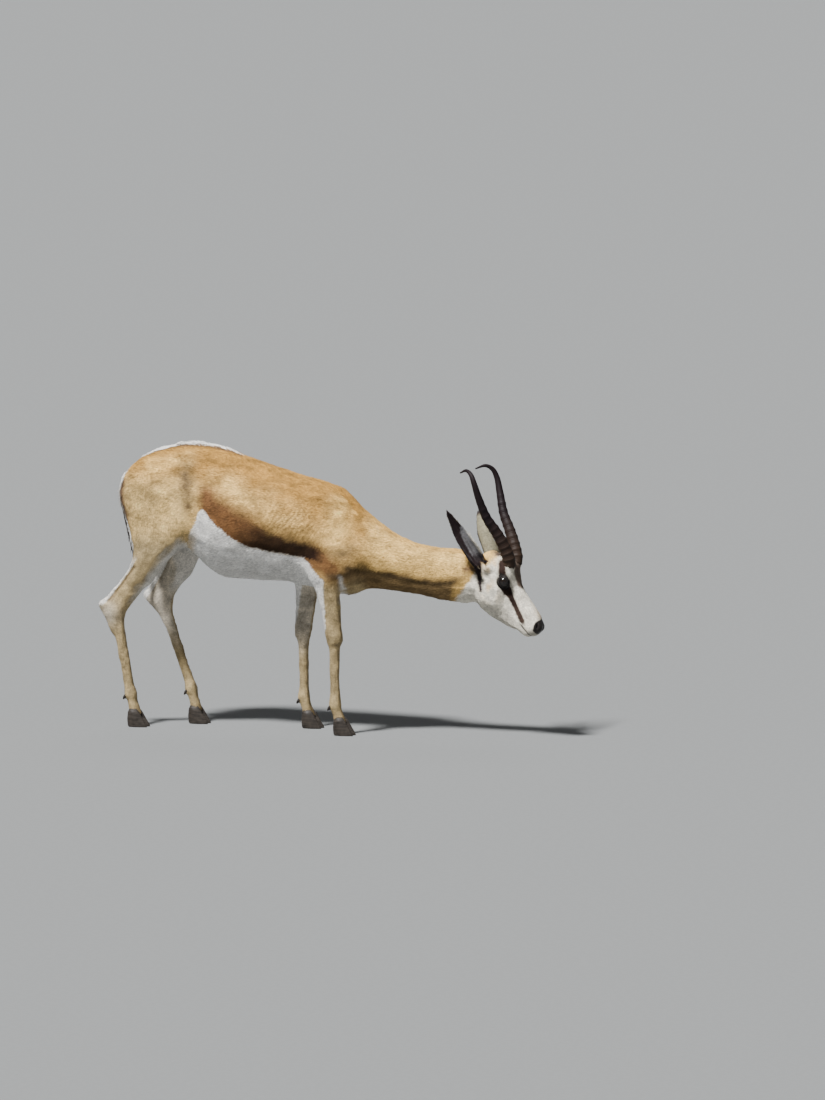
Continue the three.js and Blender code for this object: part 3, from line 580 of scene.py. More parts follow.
def ear_colour(points, parts, paint):
    """Coat colour of the ears: dark rear edge and tip, a pale back, and a cup whose whitish hair is painted
    grey as shade, with a dark strip along its rear wall that is partly the ear's dark edge and partly
    painted shade.
    """
    along, across, cup = parts["ear"], parts["ear_across"], parts["cup"]
    back = layered(
        plain(paint.ear_pale, len(points)),
        (paint.ear_dark, smooth_step(0.84, 0.95, along)),
        (paint.ear_dark, smooth_step(-0.45, -0.8, across)),
        (paint.ear_dark, smooth_step(0.22, 0.1, along)),
    )
    limit = np.interp(along, [0, 0.3, 0.5, 0.62, 0.75], [-0.15, -0.1, -0.02, 0.3, 1.2])
    inner = layered(
        # The cup's whitish hair, painted grey as shade.
        plain(paint.ear_cup_shade, len(points)),
        # Dark strip along the cup's rear wall: partly the ear's dark edge, partly painted shade.
        (paint.ear_dark, smooth_step(0.12, -0.12, across - limit + 0.1 * drift(points, 6))),
        (paint.ear_dark, 0.5 * smooth_step(0.1, 0.6, np.sin(across * 9)) * smooth_step(0.6, 0.3, along)),
        (paint.face, 0.7 * smooth_step(0.7, 0.95, across) * smooth_step(0.7, 0.5, along)),
        (paint.ear_dark, 0.9 * smooth_step(0.24, 0.1, along)),
    )
    return back + (inner - back) * cup[:, None]


def paint_ear_foot(colour, points, paint):
    """Adds the brown patch behind the foot of the ear, and the dark streak from it down the cheek: partly
    the coat's own marks, partly painted shadow of the ear.
    """
    along, side, rise = head_frame(points).T
    here = (side > 18) * (along < 90) * (points[:, 0] > 690)
    brown = near_line(along, rise, *EAR_FOOT_PATCH)
    dark = np.maximum(near_line(along, rise, *EAR_FOOT_DARK), near_line(along, rise, *EAR_FOOT_STREAK))
    dark = np.maximum(dark, near_line(along, rise, *EAR_FOOT_FRONT) * (side > 32))
    return layered(
        colour,
        # Partly coat marks, partly painted shadow of the ear.
        (paint.edge, 0.85 * brown * (1 + 0.4 * drift(points, 9)) * here),
        (paint.ear_dark, np.minimum(1.8 * dark, 1) * here),
    )


def coat_colour(points, normals, parts, paint):
    """The coat's colour at any places on the skin, which skin and tufts share."""
    colour = body_colour(points, normals, paint)
    throat = np.outer(36 * smooth_step(480, 420, points[:, 2]), [1.0, 0.0, 0.0])
    head = head_share(points + throat) * (points[:, 0] > 640)
    colour = colour + (face_colour(points, paint) - colour) * head[:, None]
    colour = paint_ear_foot(colour, points, paint)
    ear = smooth_step(0.03, 0.1, parts["ear"])
    colour = colour + (ear_colour(points, parts, paint) - colour) * ear[:, None]
    tail = np.clip(parts["tail"], 0, 1)
    tail_x, _, tail_z = np.array(TAIL_LINE, float)[::-1].T
    behind_line = points[:, 0] - np.interp(points[:, 2], tail_z, tail_x)
    rear = smooth_step(2.5, -1, behind_line) * smooth_step(0.28, 0.4, tail)
    tuft = np.maximum(smooth_step(0.68, 0.8, tail), rear)
    tail_tone = blend(plain(paint.white, len(points)), paint.tuft, tuft)
    colour = colour + (tail_tone - colour) * smooth_step(0.02, 0.06, tail)[:, None]
    bare = bare_share(points) * (parts["ear"] < 0.02)
    return blend(colour, paint.bare, bare)


# Meshes
def read(collection, name, width, kind=float):
    """One field of a Blender collection as an array."""
    values = np.empty(len(collection) * width, np.float32 if kind is float else np.int32)
    collection.foreach_get(name, values)
    return (values.reshape(-1, width) if width > 1 else values).astype(kind)


def packed(values):
    """Numbers in the form that Blender's collections take."""
    return np.asarray(values).astype(np.float32).ravel()


def vertex_places(mesh):
    return body_millimetres(read(mesh.vertices, "co", 3))


def move_vertices(mesh, points):
    mesh.vertices.foreach_set("co", packed(model_metres(points)))
    mesh.update()


def edge_ends(mesh):
    return read(mesh.edges, "vertices", 2, int)


def store(mesh, name, values):
    """Keeps one number for each vertex in the mesh, under a name that materials can read."""
    layer = mesh.attributes.get(name) or mesh.attributes.new(name, "FLOAT", "POINT")
    layer.data.foreach_set("value", packed(values))


def fetch(mesh, name):
    return read(mesh.attributes[name].data, "value", 1)


def store_colour(mesh, colours):
    layer = mesh.color_attributes.new("coat", "FLOAT_COLOR", "POINT")
    rgba = np.ones((len(colours), 4), np.float32)
    rgba[:, :3] = np.clip(colours, 0.003, 0.95)
    layer.data.foreach_set("color", rgba.ravel())


def store_map(mesh, name, places):
    """Adds a map from a place for each vertex."""
    corners = read(mesh.loops, "vertex_index", 1, int)
    mesh.uv_layers.new(name=name).data.foreach_set("uv", packed(places[corners]))


def add_object(name, mesh):
    piece = bpy.data.objects.new(name, mesh)
    bpy.context.scene.collection.objects.link(piece)
    return piece


def mesh_of(name, points, faces):
    """A mesh from body-frame points and an array of faces that all have the same number of corners."""
    faces = np.asarray(faces, np.int32)
    mesh = bpy.data.meshes.new(name)
    mesh.vertices.add(len(points))
    mesh.vertices.foreach_set("co", packed(model_metres(points)))
    mesh.loops.add(faces.size)
    mesh.loops.foreach_set("vertex_index", faces.ravel())
    mesh.polygons.add(len(faces))
    mesh.polygons.foreach_set("loop_start", np.arange(0, faces.size, faces.shape[1], dtype=np.int32))
    mesh.update(calc_edges=True)
    return mesh


def select_only(*pieces):
    bpy.ops.object.select_all(action="DESELECT")
    for piece in pieces:
        piece.select_set(True)
    bpy.context.view_layer.objects.active = pieces[0]


def shade_smooth(piece):
    select_only(piece)
    bpy.ops.object.shade_smooth()


def join(*pieces):
    """Joins pieces into the first of them."""
    select_only(*pieces)
    bpy.ops.object.join()


def voxel_remesh(piece, size):
    select_only(piece)
    modifier = piece.modifiers.new("Remesh", "REMESH")
    modifier.mode = "VOXEL"
    modifier.voxel_size = size
    bpy.ops.object.modifier_apply(modifier=modifier.name)


def rebuild(piece, change, *settings):
    """Edits a piece's mesh with a function and puts the result back."""
    build = bmesh.new()
    build.from_mesh(piece.data)
    change(build, *settings)
    build.to_mesh(piece.data)
    build.free()


def relax(points, ends, strength, rounds):
    """Smooths a mesh by its neighbours, out and back again, so that it keeps its volume."""
    first, second = ends.T
    size = len(points)
    count = np.maximum(np.bincount(ends.ravel(), minlength=size), 1)[:, None]
    for factor in (0.6, -0.62) * rounds:
        total = np.stack([
            np.bincount(first, points[second, i], size) + np.bincount(second, points[first, i], size)
            for i in range(3)
        ], axis=1)
        points = points + factor * strength[:, None] * (total / count - points)
    return points


def circle(sides):
    return np.linspace(0, 2 * math.pi, sides, endpoint=False)


def ladder(first, sides):
    """Quads that close a ring of an even number of points."""
    return [
        [first + step, first + step + 1, first + sides - 2 - step, first + sides - 1 - step]
        for step in range(sides // 2 - 1)
    ]


def closed_tube(rings):
    """Points and quads of a tube with closed ends, from an array of rings."""
    count, sides = rings.shape[:2]
    ring, step = np.meshgrid(np.arange(count - 1), np.arange(sides), indexing="ij")
    here = ring * sides + step
    beside = ring * sides + (step + 1) % sides
    walls = np.stack([here, beside, beside + sides, here + sides], axis=-1).reshape(-1, 4).tolist()
    start = [rung[::-1] for rung in ladder(0, sides)]
    return rings.reshape(-1, 3), [*walls, *start, *ladder((count - 1) * sides, sides)]


def curve_points(line, shares):
    """Points and directions along a smooth curve, spaced by its length."""
    knots = np.asarray(line, float)
    padded = np.vstack([2 * knots[0] - knots[1], knots, 2 * knots[-1] - knots[-2]])
    dense = []
    for i in range(len(knots) - 1):
        p0, p1, p2, p3 = padded[i:i + 4]
        d0, d1, d2 = (math.sqrt(np.linalg.norm(b - a)) for a, b in ((p0, p1), (p1, p2), (p2, p3)))
        slope1 = ((p1 - p0) / d0 - (p2 - p0) / (d0 + d1) + (p2 - p1) / d1) * d1
        slope2 = ((p2 - p1) / d1 - (p3 - p1) / (d1 + d2) + (p3 - p2) / d2) * d1
        t = np.linspace(0, 1, 40, endpoint=i == len(knots) - 2)[:, None]
        rise = p2 - p1
        cubic = t * (slope1 + slope2 - 2 * rise)
        dense.append(p1 + t * (slope1 + t * (3 * rise - 2 * slope1 - slope2 + cubic)))
    dense = np.vstack(dense)
    lengths = np.concatenate([[0], np.cumsum(np.linalg.norm(np.diff(dense, axis=0), axis=1))])

    def at(distances):
        return np.stack([np.interp(distances, lengths, dense[:, i]) for i in range(3)], axis=1)

    targets = np.asarray(shares) * lengths[-1]
    return at(targets), unit(at(targets + 1) - at(targets - 1))


def swept_rings(line, shares, sides, wide, deep, ripple=0):
    """Rings square to a curve, each with its own half width and half depth."""
    centres, forward = curve_points(line, shares)
    across = unit(np.array([0.0, 1.0, 0.0]) - forward * forward[:, 1:2])
    around = np.cross(forward, across)
    angles = circle(sides)
    wide = wide[:, None] * np.cos(angles) * (1 + ripple)
    deep = deep[:, None] * np.sin(angles) * (1 + ripple)
    return centres[:, None] + wide[..., None] * across[:, None] + deep[..., None] * around[:, None]


# Ears
def ear_axes(name):
    """Root and tip of an ear, and its directions: along it, across it, and the way the cup opens."""
    root, tip, facing = (np.array(place, float) * (1, SIDES[name], 1) for place in EARS[name])
    axis = unit(tip - root)
    facing = unit(facing - facing @ axis * axis)
    return root, tip, axis, np.cross(axis, facing), facing


def ear_shell(name, outer, inner, stations=30, strips=18):
    """A closed ear: each cross-section is an arc of the cup, with an outer and an inner face."""
    root, tip, _, across, facing = ear_axes(name)
    rings = []
    for t in np.linspace(0, 1, stations):
        half = EAR_HALF_WIDTH * np.interp(t, EAR_SIZE_PLACES, EAR_SIZES)
        curl = EAR_ROOT_CURL + (EAR_TIP_CURL - EAR_ROOT_CURL) * min(t * 1.7, 1)
        radius = half / math.sin(min(curl, math.pi / 2))
        centre = root + (tip - root) * t + facing * (radius * 0.7 - EAR_BEND * math.sin(math.pi * t))
        angles = np.linspace(-curl, curl, strips + 1)
        edge = 1 - np.abs(np.linspace(-1, 1, strips + 1)) ** 6
        faces = []
        for depth in (min(inner, radius / 2) * (0.35 + 0.65 * edge), -outer * edge):
            reach = radius - depth
            arc = centre - facing * (reach * np.cos(angles))[:, None]
            faces.append(arc + across * (reach * np.sin(angles))[:, None])
        rings.append(np.vstack([faces[0], faces[1][::-1]]))
    return closed_tube(np.array(rings))


def ear_fields(points, normals, shells):
    """Per vertex: place along the ear, across it from its rear edge, and whether it faces into the cup."""
    along, across_share, cup = np.zeros((3, len(points)))
    for name, side in SIDES.items():
        root, tip, axis, across, facing = ear_axes(name)
        forward = 1 if across @ FACE_UP > 0 else -1
        offset = points - root
        t = offset @ axis / np.linalg.norm(tip - root)
        for index in np.flatnonzero((points[:, 1] * side > 20) & (t > -0.1) & (t < 1.1)):
            distance = shells[name].find_nearest(Vector(points[index]))[3]
            if distance is None or distance > 6:
                continue
            along[index] = np.clip(t[index], 0, 1)
            across_share[index] = offset[index] @ across / EAR_HALF_WIDTH * forward
            middle = axis * (offset[index] @ axis) + root + facing * 8
            inward = unit(middle + facing * 12 - points[index])
            cup[index] = normals[index] @ inward > 0.1 and t[index] > 0.04
    return along, across_share, cup


def snap_ears(points, ends, shells):
    """Draws the ears of the remeshed skin onto their true thin shells."""
    for name, side in SIDES.items():
        root, tip, axis, _, _ = ear_axes(name)
        for _ in range(2):
            t = (points - root) @ axis / np.linalg.norm(tip - root)
            here = (points[:, 1] * side > 20) & (t > 0.16) & (t < 1.1) & (points[:, 2] > 500)
            for index in np.flatnonzero(here):
                place, _, _, distance = shells[name].find_nearest(Vector(points[index]))
                if place is not None and distance < 7:
                    points[index] += (np.array(place) - points[index]) * smooth_step(0.16, 0.3, t[index])
            points = relax(points, ends, np.where(here, 0.5, 0.0), 1)
    return points


# Skin
def points_and_faces(build):
    """Corners and faces of an open mesh build, which is then closed."""
    points = np.array([vert.co for vert in build.verts])
    faces = [[vert.index for vert in face.verts] for face in build.faces]
    build.free()
    return points, faces


def node_shell(name):
    """A copy of a CAD node with merged corners, moved out a little to close the gaps."""
    build = bmesh.new()
    build.from_mesh(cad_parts[name].data)
    bmesh.ops.remove_doubles(build, verts=build.verts, dist=1e-5)
    build.normal_update()
    for vert in build.verts:
        vert.co += vert.normal * 0.0005
    points, faces = points_and_faces(build)
    return body_millimetres(points), faces


def eye_ball_shell(side):
    ball = bmesh.new()
    bmesh.ops.create_icosphere(ball, subdivisions=4, radius=EYE_OPENING_RADIUS)
    points, faces = points_and_faces(ball)
    return points + head_point(EYE_CENTRE[0], side * EYE_CENTRE[1], EYE_CENTRE[2]), faces


def tail_shell():
    shares = np.linspace(0, 1, TAIL_RINGS)
    halves = np.interp(shares, np.linspace(0, 1, len(TAIL_HALF_WIDTHS)), TAIL_HALF_WIDTHS)
    return closed_tube(swept_rings(TAIL_LINE, shares, TAIL_SIDES, halves, halves * 0.8))


def join_shells(name, shells):
    """One mesh of several closed shells."""
    points = []
    faces = []
    for shell_points, shell_faces in shells:
        start = sum(len(part) for part in points)
        points.append(shell_points)
        faces += [[start + corner for corner in face] for face in shell_faces]
    mesh = bpy.data.meshes.new(name)
    mesh.from_pydata(model_metres(np.vstack(points)).tolist(), [], faces)
    return add_object(name, mesh)


def keep_largest(build):
    """Removes all but the biggest connected part of a mesh."""
    left = set(build.verts)
    islands = []
    while left:
        stack = [left.pop()]
        island = list(stack)
        while stack:
            for edge in stack.pop().link_edges:
                for vert in edge.verts:
                    if vert in left:
                        left.discard(vert)
                        stack.append(vert)
                        island.append(vert)
        islands.append(island)
    islands.sort(key=len)
    for island in islands[:-1]:
        bmesh.ops.delete(build, geom=island, context="VERTS")


def cut_at_neck(build, keep_front):
    """Cuts a mesh square to X at the neck and keeps one side, open at the cut."""
    place = Vector(model_metres([NECK_CUT + (2.5 if keep_front else -2.5), 0, 450]))
    bmesh.ops.bisect_plane(
        build, geom=[*build.verts, *build.edges, *build.faces], plane_co=place, plane_no=(1, 0, 0),
        clear_inner=keep_front, clear_outer=not keep_front, dist=1e-5,
    )


def bridge_neck(build):
    """Joins the two open rings at the neck."""
    bmesh.ops.bridge_loops(build, edges=[edge for edge in build.edges if edge.is_boundary])


def subdivide_where(build, chosen):
    """Divides the faces whose corners are all chosen into four."""
    build.verts.ensure_lookup_table()
    faces = [face for face in build.faces if all(chosen[vert.index] for vert in face.verts)]
    edges = list({edge for face in faces for edge in face.edges})
    bmesh.ops.subdivide_edges(build, edges=edges, cuts=1, use_grid_fill=True, smooth=0)
    bmesh.ops.triangulate(build, faces=[face for face in build.faces if len(face.verts) > 4])


def fine_zone(points, margin):
    """The parts of the head that need the finest skin: eyes, nostrils and mouth."""
    place = head_frame(points)
    along, _, rise = place.T
    eye = np.linalg.norm(place - EYE_CENTRE, axis=1) < 24 + margin
    nose = (along > 214 - margin) & (rise > 14 - margin)
    lips = (along > 196 - margin) & (np.abs(rise - mouth_height(along)) < 7 + margin)
    return (eye | nose | lips) & (points[:, 0] > 780)


def coat_depth_at(points, parts, depth):
    """How far the skin lies inside the CAD surface."""
    leg = leg_place(points)[0]
    low = smooth_step(330, 180, points[:, 2])
    thin = np.maximum(leg * (0.3 + 0.4 * low), 0.55 * head_share(points) * (points[:, 0] > 690))
    return depth * (1 - thin) * (parts["ear"] < 0.01)


# Relief of body (x, side, z) and head (along, side, rise): centre, radii and height of each soft form
BODY_RELIEF = (
    ((-40, 88, 742), (26, 26, 20), 3.2),
    ((-262, 42, 690), (22, 20, 22), 2.4),
    ((-20, 112, 688), (40, 40, 26), -3.6),
    ((-70, 104, 640), (16, 40, 52), -1.8),
    ((-165, 100, 600), (40, 40, 60), 2.2),
    ((-232, 80, 590), (13, 40, 78), -2.0),
    ((318, 88, 600), (22, 40, 74), 2.2),
    ((352, 80, 500), (24, 30, 30), 3.0),
    ((276, 100, 560), (15, 40, 72), -2.6),
    ((300, 88, 470), (30, 30, 28), 1.8),
    ((392, 66, 560), (15, 40, 58), -2.4),
    ((470, 52, 456), (110, 30, 11), -2.2),
    ((600, 46, 430), (90, 30, 9), -1.6),
    ((520, 46, 505), (90, 30, 20), 1.4),
)
HEAD_RELIEF = (
    ((64, 39, 43), (20, 9, 5), 2.2),
    ((86, 43, 3), (22, 10, 5), 1.4),
    ((112, 33, 22), (13, 10, 9), -2.4),
    ((96, 40, -12), (30, 12, 7), 1.6),
    ((84, 40, -44), (28, 16, 22), 2.2),
    ((30, 42, -48), (12, 20, 24), -2.6),
    ((150, 27, -2), (30, 10, 14), -1.8),
    ((160, 14, 48), (44, 5, 6), 0.9),
    ((120, 0, 50), (34, 9, 8), -1.2),
    ((226, 18, 33), (10, 7, 8), 2.4),
    ((226, 20, 12), (20, 9, 8), 1.8),
    ((222, 12, -17), (20, 10, 7), 1.2),
    ((206, 20, 22), (12, 8, 10), -1.0),
)
RIB_FIELD = ((170, 108, 590), (100, 40, 75))
CREASE_FIELDS = (((402, 60, 590), (34, 60, 62), 0.7), ((716, 40, 470), (34, 60, 46), 0.6))
FORE_KNEE_Z = 273
HOCK_Z = 330
NOSTRIL_ALONG = 231


def body_relief(points, normals):
    """Muscles, ribs, folds and tendons, as height over the plain surface."""
    x, y, z = points.T
    sideways = np.abs(normals[:, 1])
    flat = smooth_step(0.15, 0.5, sideways)
    place = np.stack([x, np.abs(y), z], axis=1)
    height = 0.55 * (np.sin((x + 0.42 * (z - 560)) / 5.1) * mound(place, *RIB_FIELD)) * flat
    for centre, radii, amount in BODY_RELIEF:
        height += amount * mound(place, centre, radii)
    creases = np.sin((x - 0.3 * z) / 6.4 + 0.8 * drift(points, 60))
    for centre, radii, amount in CREASE_FIELDS:
        height += amount * creases * mound(place, centre, radii)
    height += (1.5 * drift(points, 48) + 0.8 * drift(points, 21)) * (z > 380)
    leg, ahead, _, fore = leg_place(points)
    thin = leg * smooth_step(300, 240, z) * smooth_step(92, 112, z)
    height -= 1.7 * (bell(ahead + 5, 3.4) * smooth_step(0.3, 0.8, sideways)) * thin
    height -= 6.5 * shank_gap(points, 8, 7) * flat * (~fore)
    over_knee = z - np.where(fore, FORE_KNEE_Z, HOCK_Z)
    height += 0.8 * leg * bell(over_knee - 12, 8) - 0.8 * leg * bell(over_knee + 24, 7)
    height += 1.0 * leg * bell(z - 90, 12) * smooth_step(2, -12, ahead)
    return height


def head_relief(points):
    """Bones, cheeks, nostrils and mouth, as height over the plain surface."""
    place = head_frame(points)
    along, side, rise = place.T
    height = np.zeros(len(points))
    for centre, radii, amount in HEAD_RELIEF:
        height += amount * mound(place, centre, radii)
    slit_middle = 33 - 0.55 * (along - NOSTRIL_ALONG)
    nostril = bell(rise - slit_middle, 2.6) * bell(along - NOSTRIL_ALONG, 6.5)
    height -= 7.5 * nostril * smooth_step(5, 11, side)
    height -= 2.6 * (bell(rise - mouth_height(along), 1.5) * smooth_step(198, 206, along))
    height -= 1.3 * bell(side, 1.5) * smooth_step(236, 242, along) * smooth_step(4, 10, rise)
    height += 0.35 * drift(points, 9) * smooth_step(215, 150, along)
    return height


def shape_lids(points):
    """Opens the skin over each eye: lids stand proud of the ball, and skin inside them sinks behind it."""
    signed, lift, way, radius, centre = eye_rings(points)
    near = (radius < 34) & (signed < 30)
    lid = EYE_OPENING_RADIUS + np.where(lift > 0, 2.6, 1.8)
    fold = 0.9 * bell(signed - 4.2, 1.1) * (lift > 0)
    rim = lid * smooth_step(-0.4, 0.5, signed) + (EYE_OPENING_RADIUS - 3.5) * smooth_step(0.5, -0.4, signed)
    wanted = rim - fold + 0.5 * bell(signed - 1.2, 0.9)
    moved = radius + (wanted - radius) * (smooth_step(13, 3.5, signed) * near)
    middle = centre + np.sign(points[:, 1])[:, None] * np.array([0.0, EYE_CENTRE[1], 0.0])
    return np.where(near[:, None], middle + way * moved[:, None], points)


def sized(label, description, default, low, high):
    """A length that a user can change, in metres."""
    return FloatProperty(
        name=label, description=description, default=default, min=low, max=high,
        unit="LENGTH", subtype="DISTANCE")


def coloured(label, description, *default):
    """A colour that a user can change."""
    return FloatVectorProperty(name=label, description=description, subtype="COLOR", default=default)


class SpringbokSizes(bpy.types.PropertyGroup):
    """Sizes of the skin and its coat."""

    coat_depth: sized("Coat depth", "How far the skin lies under the coat's surface", 0.003, 0, 0.01)
    body_cell: sized("Body skin step", "Mesh size of the body's skin", 0.0062, 0.003, 0.02)
    head_cell: sized("Head skin step", "Mesh size of the head's skin", 0.0027, 0.001, 0.01)
    tuft_length: sized("Tuft length", "Length of the short tufts on the flank", 0.0105, 0.002, 0.05)
    tuft_width: sized("Tuft width", "Width of the short tufts on the flank", 0.0026, 0.0005, 0.02)
    tuft_count: IntProperty(
        name="Tufts in a piece", description="Number of tufts in the fullest coat pieces",
        default=23800, min=100, max=32000)


class SpringbokColours(bpy.types.PropertyGroup):
    """Colours of the coat and the bare skin."""

    back: coloured("Back", "Cinnamon of the back", 0.37, 0.195, 0.044)
    flank: coloured("Flank", "Fawn above the dark band", 0.57, 0.355, 0.118)
    thigh: coloured("Thigh", "Pale tan of the thigh", 0.74, 0.505, 0.205)
    neck: coloured("Neck", "Pale orange fawn of the neck", 0.67, 0.425, 0.135)
    leg: coloured("Legs", "Tan of the lower legs", 0.38, 0.285, 0.145)
    # Painted shade: brown for the flank hollow, under shoulder and arm, the neck's lower side and chest, the
    # thigh, between shank and tendon, and the groin.
    hollow: coloured("Hollows", "Brown of flank hollow and low side of the neck", 0.135, 0.088, 0.042)
    pale: coloured("Pale fawn", "Lightest fawn over the band and on the shoulder", 0.86, 0.56, 0.19)
    band_rear: coloured("Band at the rear", "Red-brown end of the flank band", 0.148, 0.066, 0.024)
    # Pale fawn, partly painted highlight on flank, shoulder, thigh, rump and nape.
    band_front: coloured("Band at the front", "Near black end of the flank band", 0.016, 0.0055, 0.003)
    white: coloured("White", "Belly, rump and inner legs", 0.80, 0.78, 0.74)
    face: coloured("Face", "White of the face", 0.74, 0.69, 0.58)
    stripe: coloured("Face stripe", "Stripe from eye to mouth", 0.027, 0.013, 0.009)
    forehead: coloured("Forehead", "Grey-brown forehead", 0.17, 0.125, 0.095)
    ear_dark: coloured("Ear, dark", "Dark edge of the ears", 0.022, 0.013, 0.014)
    # The cup's whitish hair, painted grey as shade.
    ear_cup_shade: coloured("Ear, grey", "Grey inside of the ears", 0.17, 0.165, 0.17)
    ear_pale: coloured("Ear, pale", "Pale back of the ears", 0.215, 0.195, 0.13)
    tuft: coloured("Tail tuft", "Dark end of the tail", 0.02, 0.014, 0.011)
    # Also painted shade under the eye, and partly painted shadow at the foot of the ear.
    edge: coloured("Brown edges", "Rump border, folds, and marks by eye and ear", 0.115, 0.066, 0.038)
    bare: coloured("Bare skin", "Nose, lips and rims of the eyes", 0.015, 0.012, 0.011)


# Materials
def new_material(name):
    material = bpy.data.materials.new(name)
    material.use_nodes = True
    return material, material.node_tree, material.node_tree.nodes["Principled BSDF"]


def set_inputs(tree, node, inputs):
    """Gives each named input of a node a constant, or the output of another node."""
    for name, value in inputs.items():
        if isinstance(value, bpy.types.NodeSocket):
            tree.links.new(value, node.inputs[name])
        else:
            node.inputs[name].default_value = value


def add_node(tree, kind, output, inputs=None, **settings):
    """Adds a node, sets it up and hands back one of its outputs."""
    node = tree.nodes.new(f"ShaderNode{kind}")
    for name, value in settings.items():
        setattr(node, name, value)
    set_inputs(tree, node, inputs or {})
    return node.outputs[output]


def add_noise(tree, source, stretch, scale, detail):
    """A noise texture on stretched coordinates."""
    place = add_node(tree, "Mapping", "Vector", {"Scale": stretch, "Vector": source})
    return add_node(tree, "TexNoise", "Fac", {"Scale": scale, "Detail": detail, "Vector": place})


def add_range(tree, value, low, high, start=0.3, end=0.7):
    """Maps a value from start..end to low..high."""
    limits = {"From Min": start, "From Max": end, "To Min": low, "To Max": high}
    return add_node(tree, "MapRange", "Result", {"Value": value, **limits})


def add_tint(tree, colour_socket, factor):
    """A colour made lighter or darker by a factor."""
    inputs = {0: colour_socket, "Scale": factor}
    return add_node(tree, "VectorMath", "Vector", inputs, operation="SCALE")


def add_bump(tree, height, strength, distance):
    return add_node(tree, "Bump", "Normal", {"Strength": strength, "Distance": distance, "Height": height})


def add_ramp(tree, factor, *stops):
    """A colour ramp through stops that each have a place and a colour."""
    output = add_node(tree, "ValToRGB", "Color", {"Fac": factor})
    elements = output.node.color_ramp.elements
    for number, (place, tone) in enumerate(stops):
        element = elements[number] if number < 2 else elements.new(place)
        element.position = place
        element.color = (*tone, 1)
    return output


def fur_material():
    """Short hair: the coat's own colour with fine streaks, soft sheen and a hair-scale bump."""
    material, tree, shader = new_material("short_coat")
    place = add_node(tree, "TexCoord", "Object")
    coat = add_node(tree, "Attribute", "Color", attribute_name="coat")
    bare = add_node(tree, "Attribute", "Fac", attribute_name="bare")
    streaks = add_noise(tree, place, (0.3, 1.0, 0.55), 420, 3)
    patches = add_noise(tree, place, (1, 1, 1), 34, 3)
    tones = {0: add_range(tree, streaks, 0.74, 1.22), 1: add_range(tree, patches, 0.9, 1.08)}
    tone = add_node(tree, "Math", "Value", tones, operation="MULTIPLY")
    set_inputs(tree, shader, {
        "Base Color": add_tint(tree, coat, tone),
        "Roughness": add_range(tree, bare, 0.78, 0.36, 0, 1),
        "Normal": add_bump(tree, streaks, 0.35, 0.0008),
        "Specular IOR Level": 0.16,
        "Sheen Weight": 0.03,
        "Sheen Roughness": 0.5,
    })
    return material


def coat_material():
    return bpy.data.materials.get("short_coat") or fur_material()


def horn_material():
    """Dark keratin with fibres along the horn and a browner base."""
    material, tree, shader = new_material("horn_keratin")
    place = add_node(tree, "UVMap", "UV", uv_map="grain")
    fibres = add_noise(tree, place, (60, 5, 1), 3.0, 5)
    lengthways = add_node(tree, "SeparateXYZ", "Y", {"Vector": place})
    ramp = add_ramp(tree, lengthways, (0.05, (0.030, 0.018, 0.011)), (0.5, (0.009, 0.005, 0.006)))
    set_inputs(tree, shader, {
        "Base Color": add_tint(tree, ramp, add_range(tree, fibres, 0.65, 1.5)),
        "Roughness": add_range(tree, fibres, 0.46, 0.68),
        "Normal": add_bump(tree, fibres, 0.5, 0.0006),
        "Specular IOR Level": 0.16,
    })
    return material


def hoof_material():
    """Black horn with growth lines round the claw."""
    material, tree, shader = new_material("hoof_horn")
    place = add_node(tree, "TexCoord", "Object")
    growth = add_noise(tree, place, (0.12, 0.12, 1.0), 420, 3)
    wear = add_noise(tree, place, (1, 1, 1), 90, 5)
    ramp = add_ramp(tree, wear, (0, (0.012, 0.010, 0.009)), (1, (0.04, 0.032, 0.025)))
    set_inputs(tree, shader, {
        "Base Color": add_tint(tree, ramp, add_range(tree, growth, 0.6, 1.6)),
        "Roughness": add_range(tree, wear, 0.42, 0.66),
        "Normal": add_bump(tree, growth, 0.6, 0.0005),
        "Specular IOR Level": 0.25,
    })
    return material


def eye_material():
    """A dark wet eye: brown iris with fibres, a level dark pupil and a clear gloss over all."""
    material, tree, shader = new_material("eye_wet")
    place = add_node(tree, "UVMap", "UV", uv_map="gaze")
    fibres = add_noise(tree, place, (1, 1, 1), 26, 4)
    squashed = add_node(tree, "Mapping", "Vector", {"Scale": (1.0, 2.1, 1.0), "Vector": place})
    distance = add_node(tree, "VectorMath", "Value", {0: squashed}, operation="LENGTH")
    ramp = add_ramp(
        tree, distance, (0.34, (0.002, 0.002, 0.003)), (0.42, (0.013, 0.007, 0.004)),
        (0.95, (0.006, 0.004, 0.003)))
    set_inputs(tree, shader, {
        "Base Color": add_tint(tree, ramp, add_range(tree, fibres, 0.7, 1.5)),
        "Roughness": 0.3,
        "Specular IOR Level": 0.2,
        "Coat Weight": 0.6,
        "Coat Roughness": 0.03,
    })
    return material


def finish_piece(piece, slot, *nodes):
    """Hangs a piece on the root and hides the nodes that it stands for; the finish it is given is not used.
    """
    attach(piece, "root")
    if nodes:
        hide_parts(*nodes)
    return piece


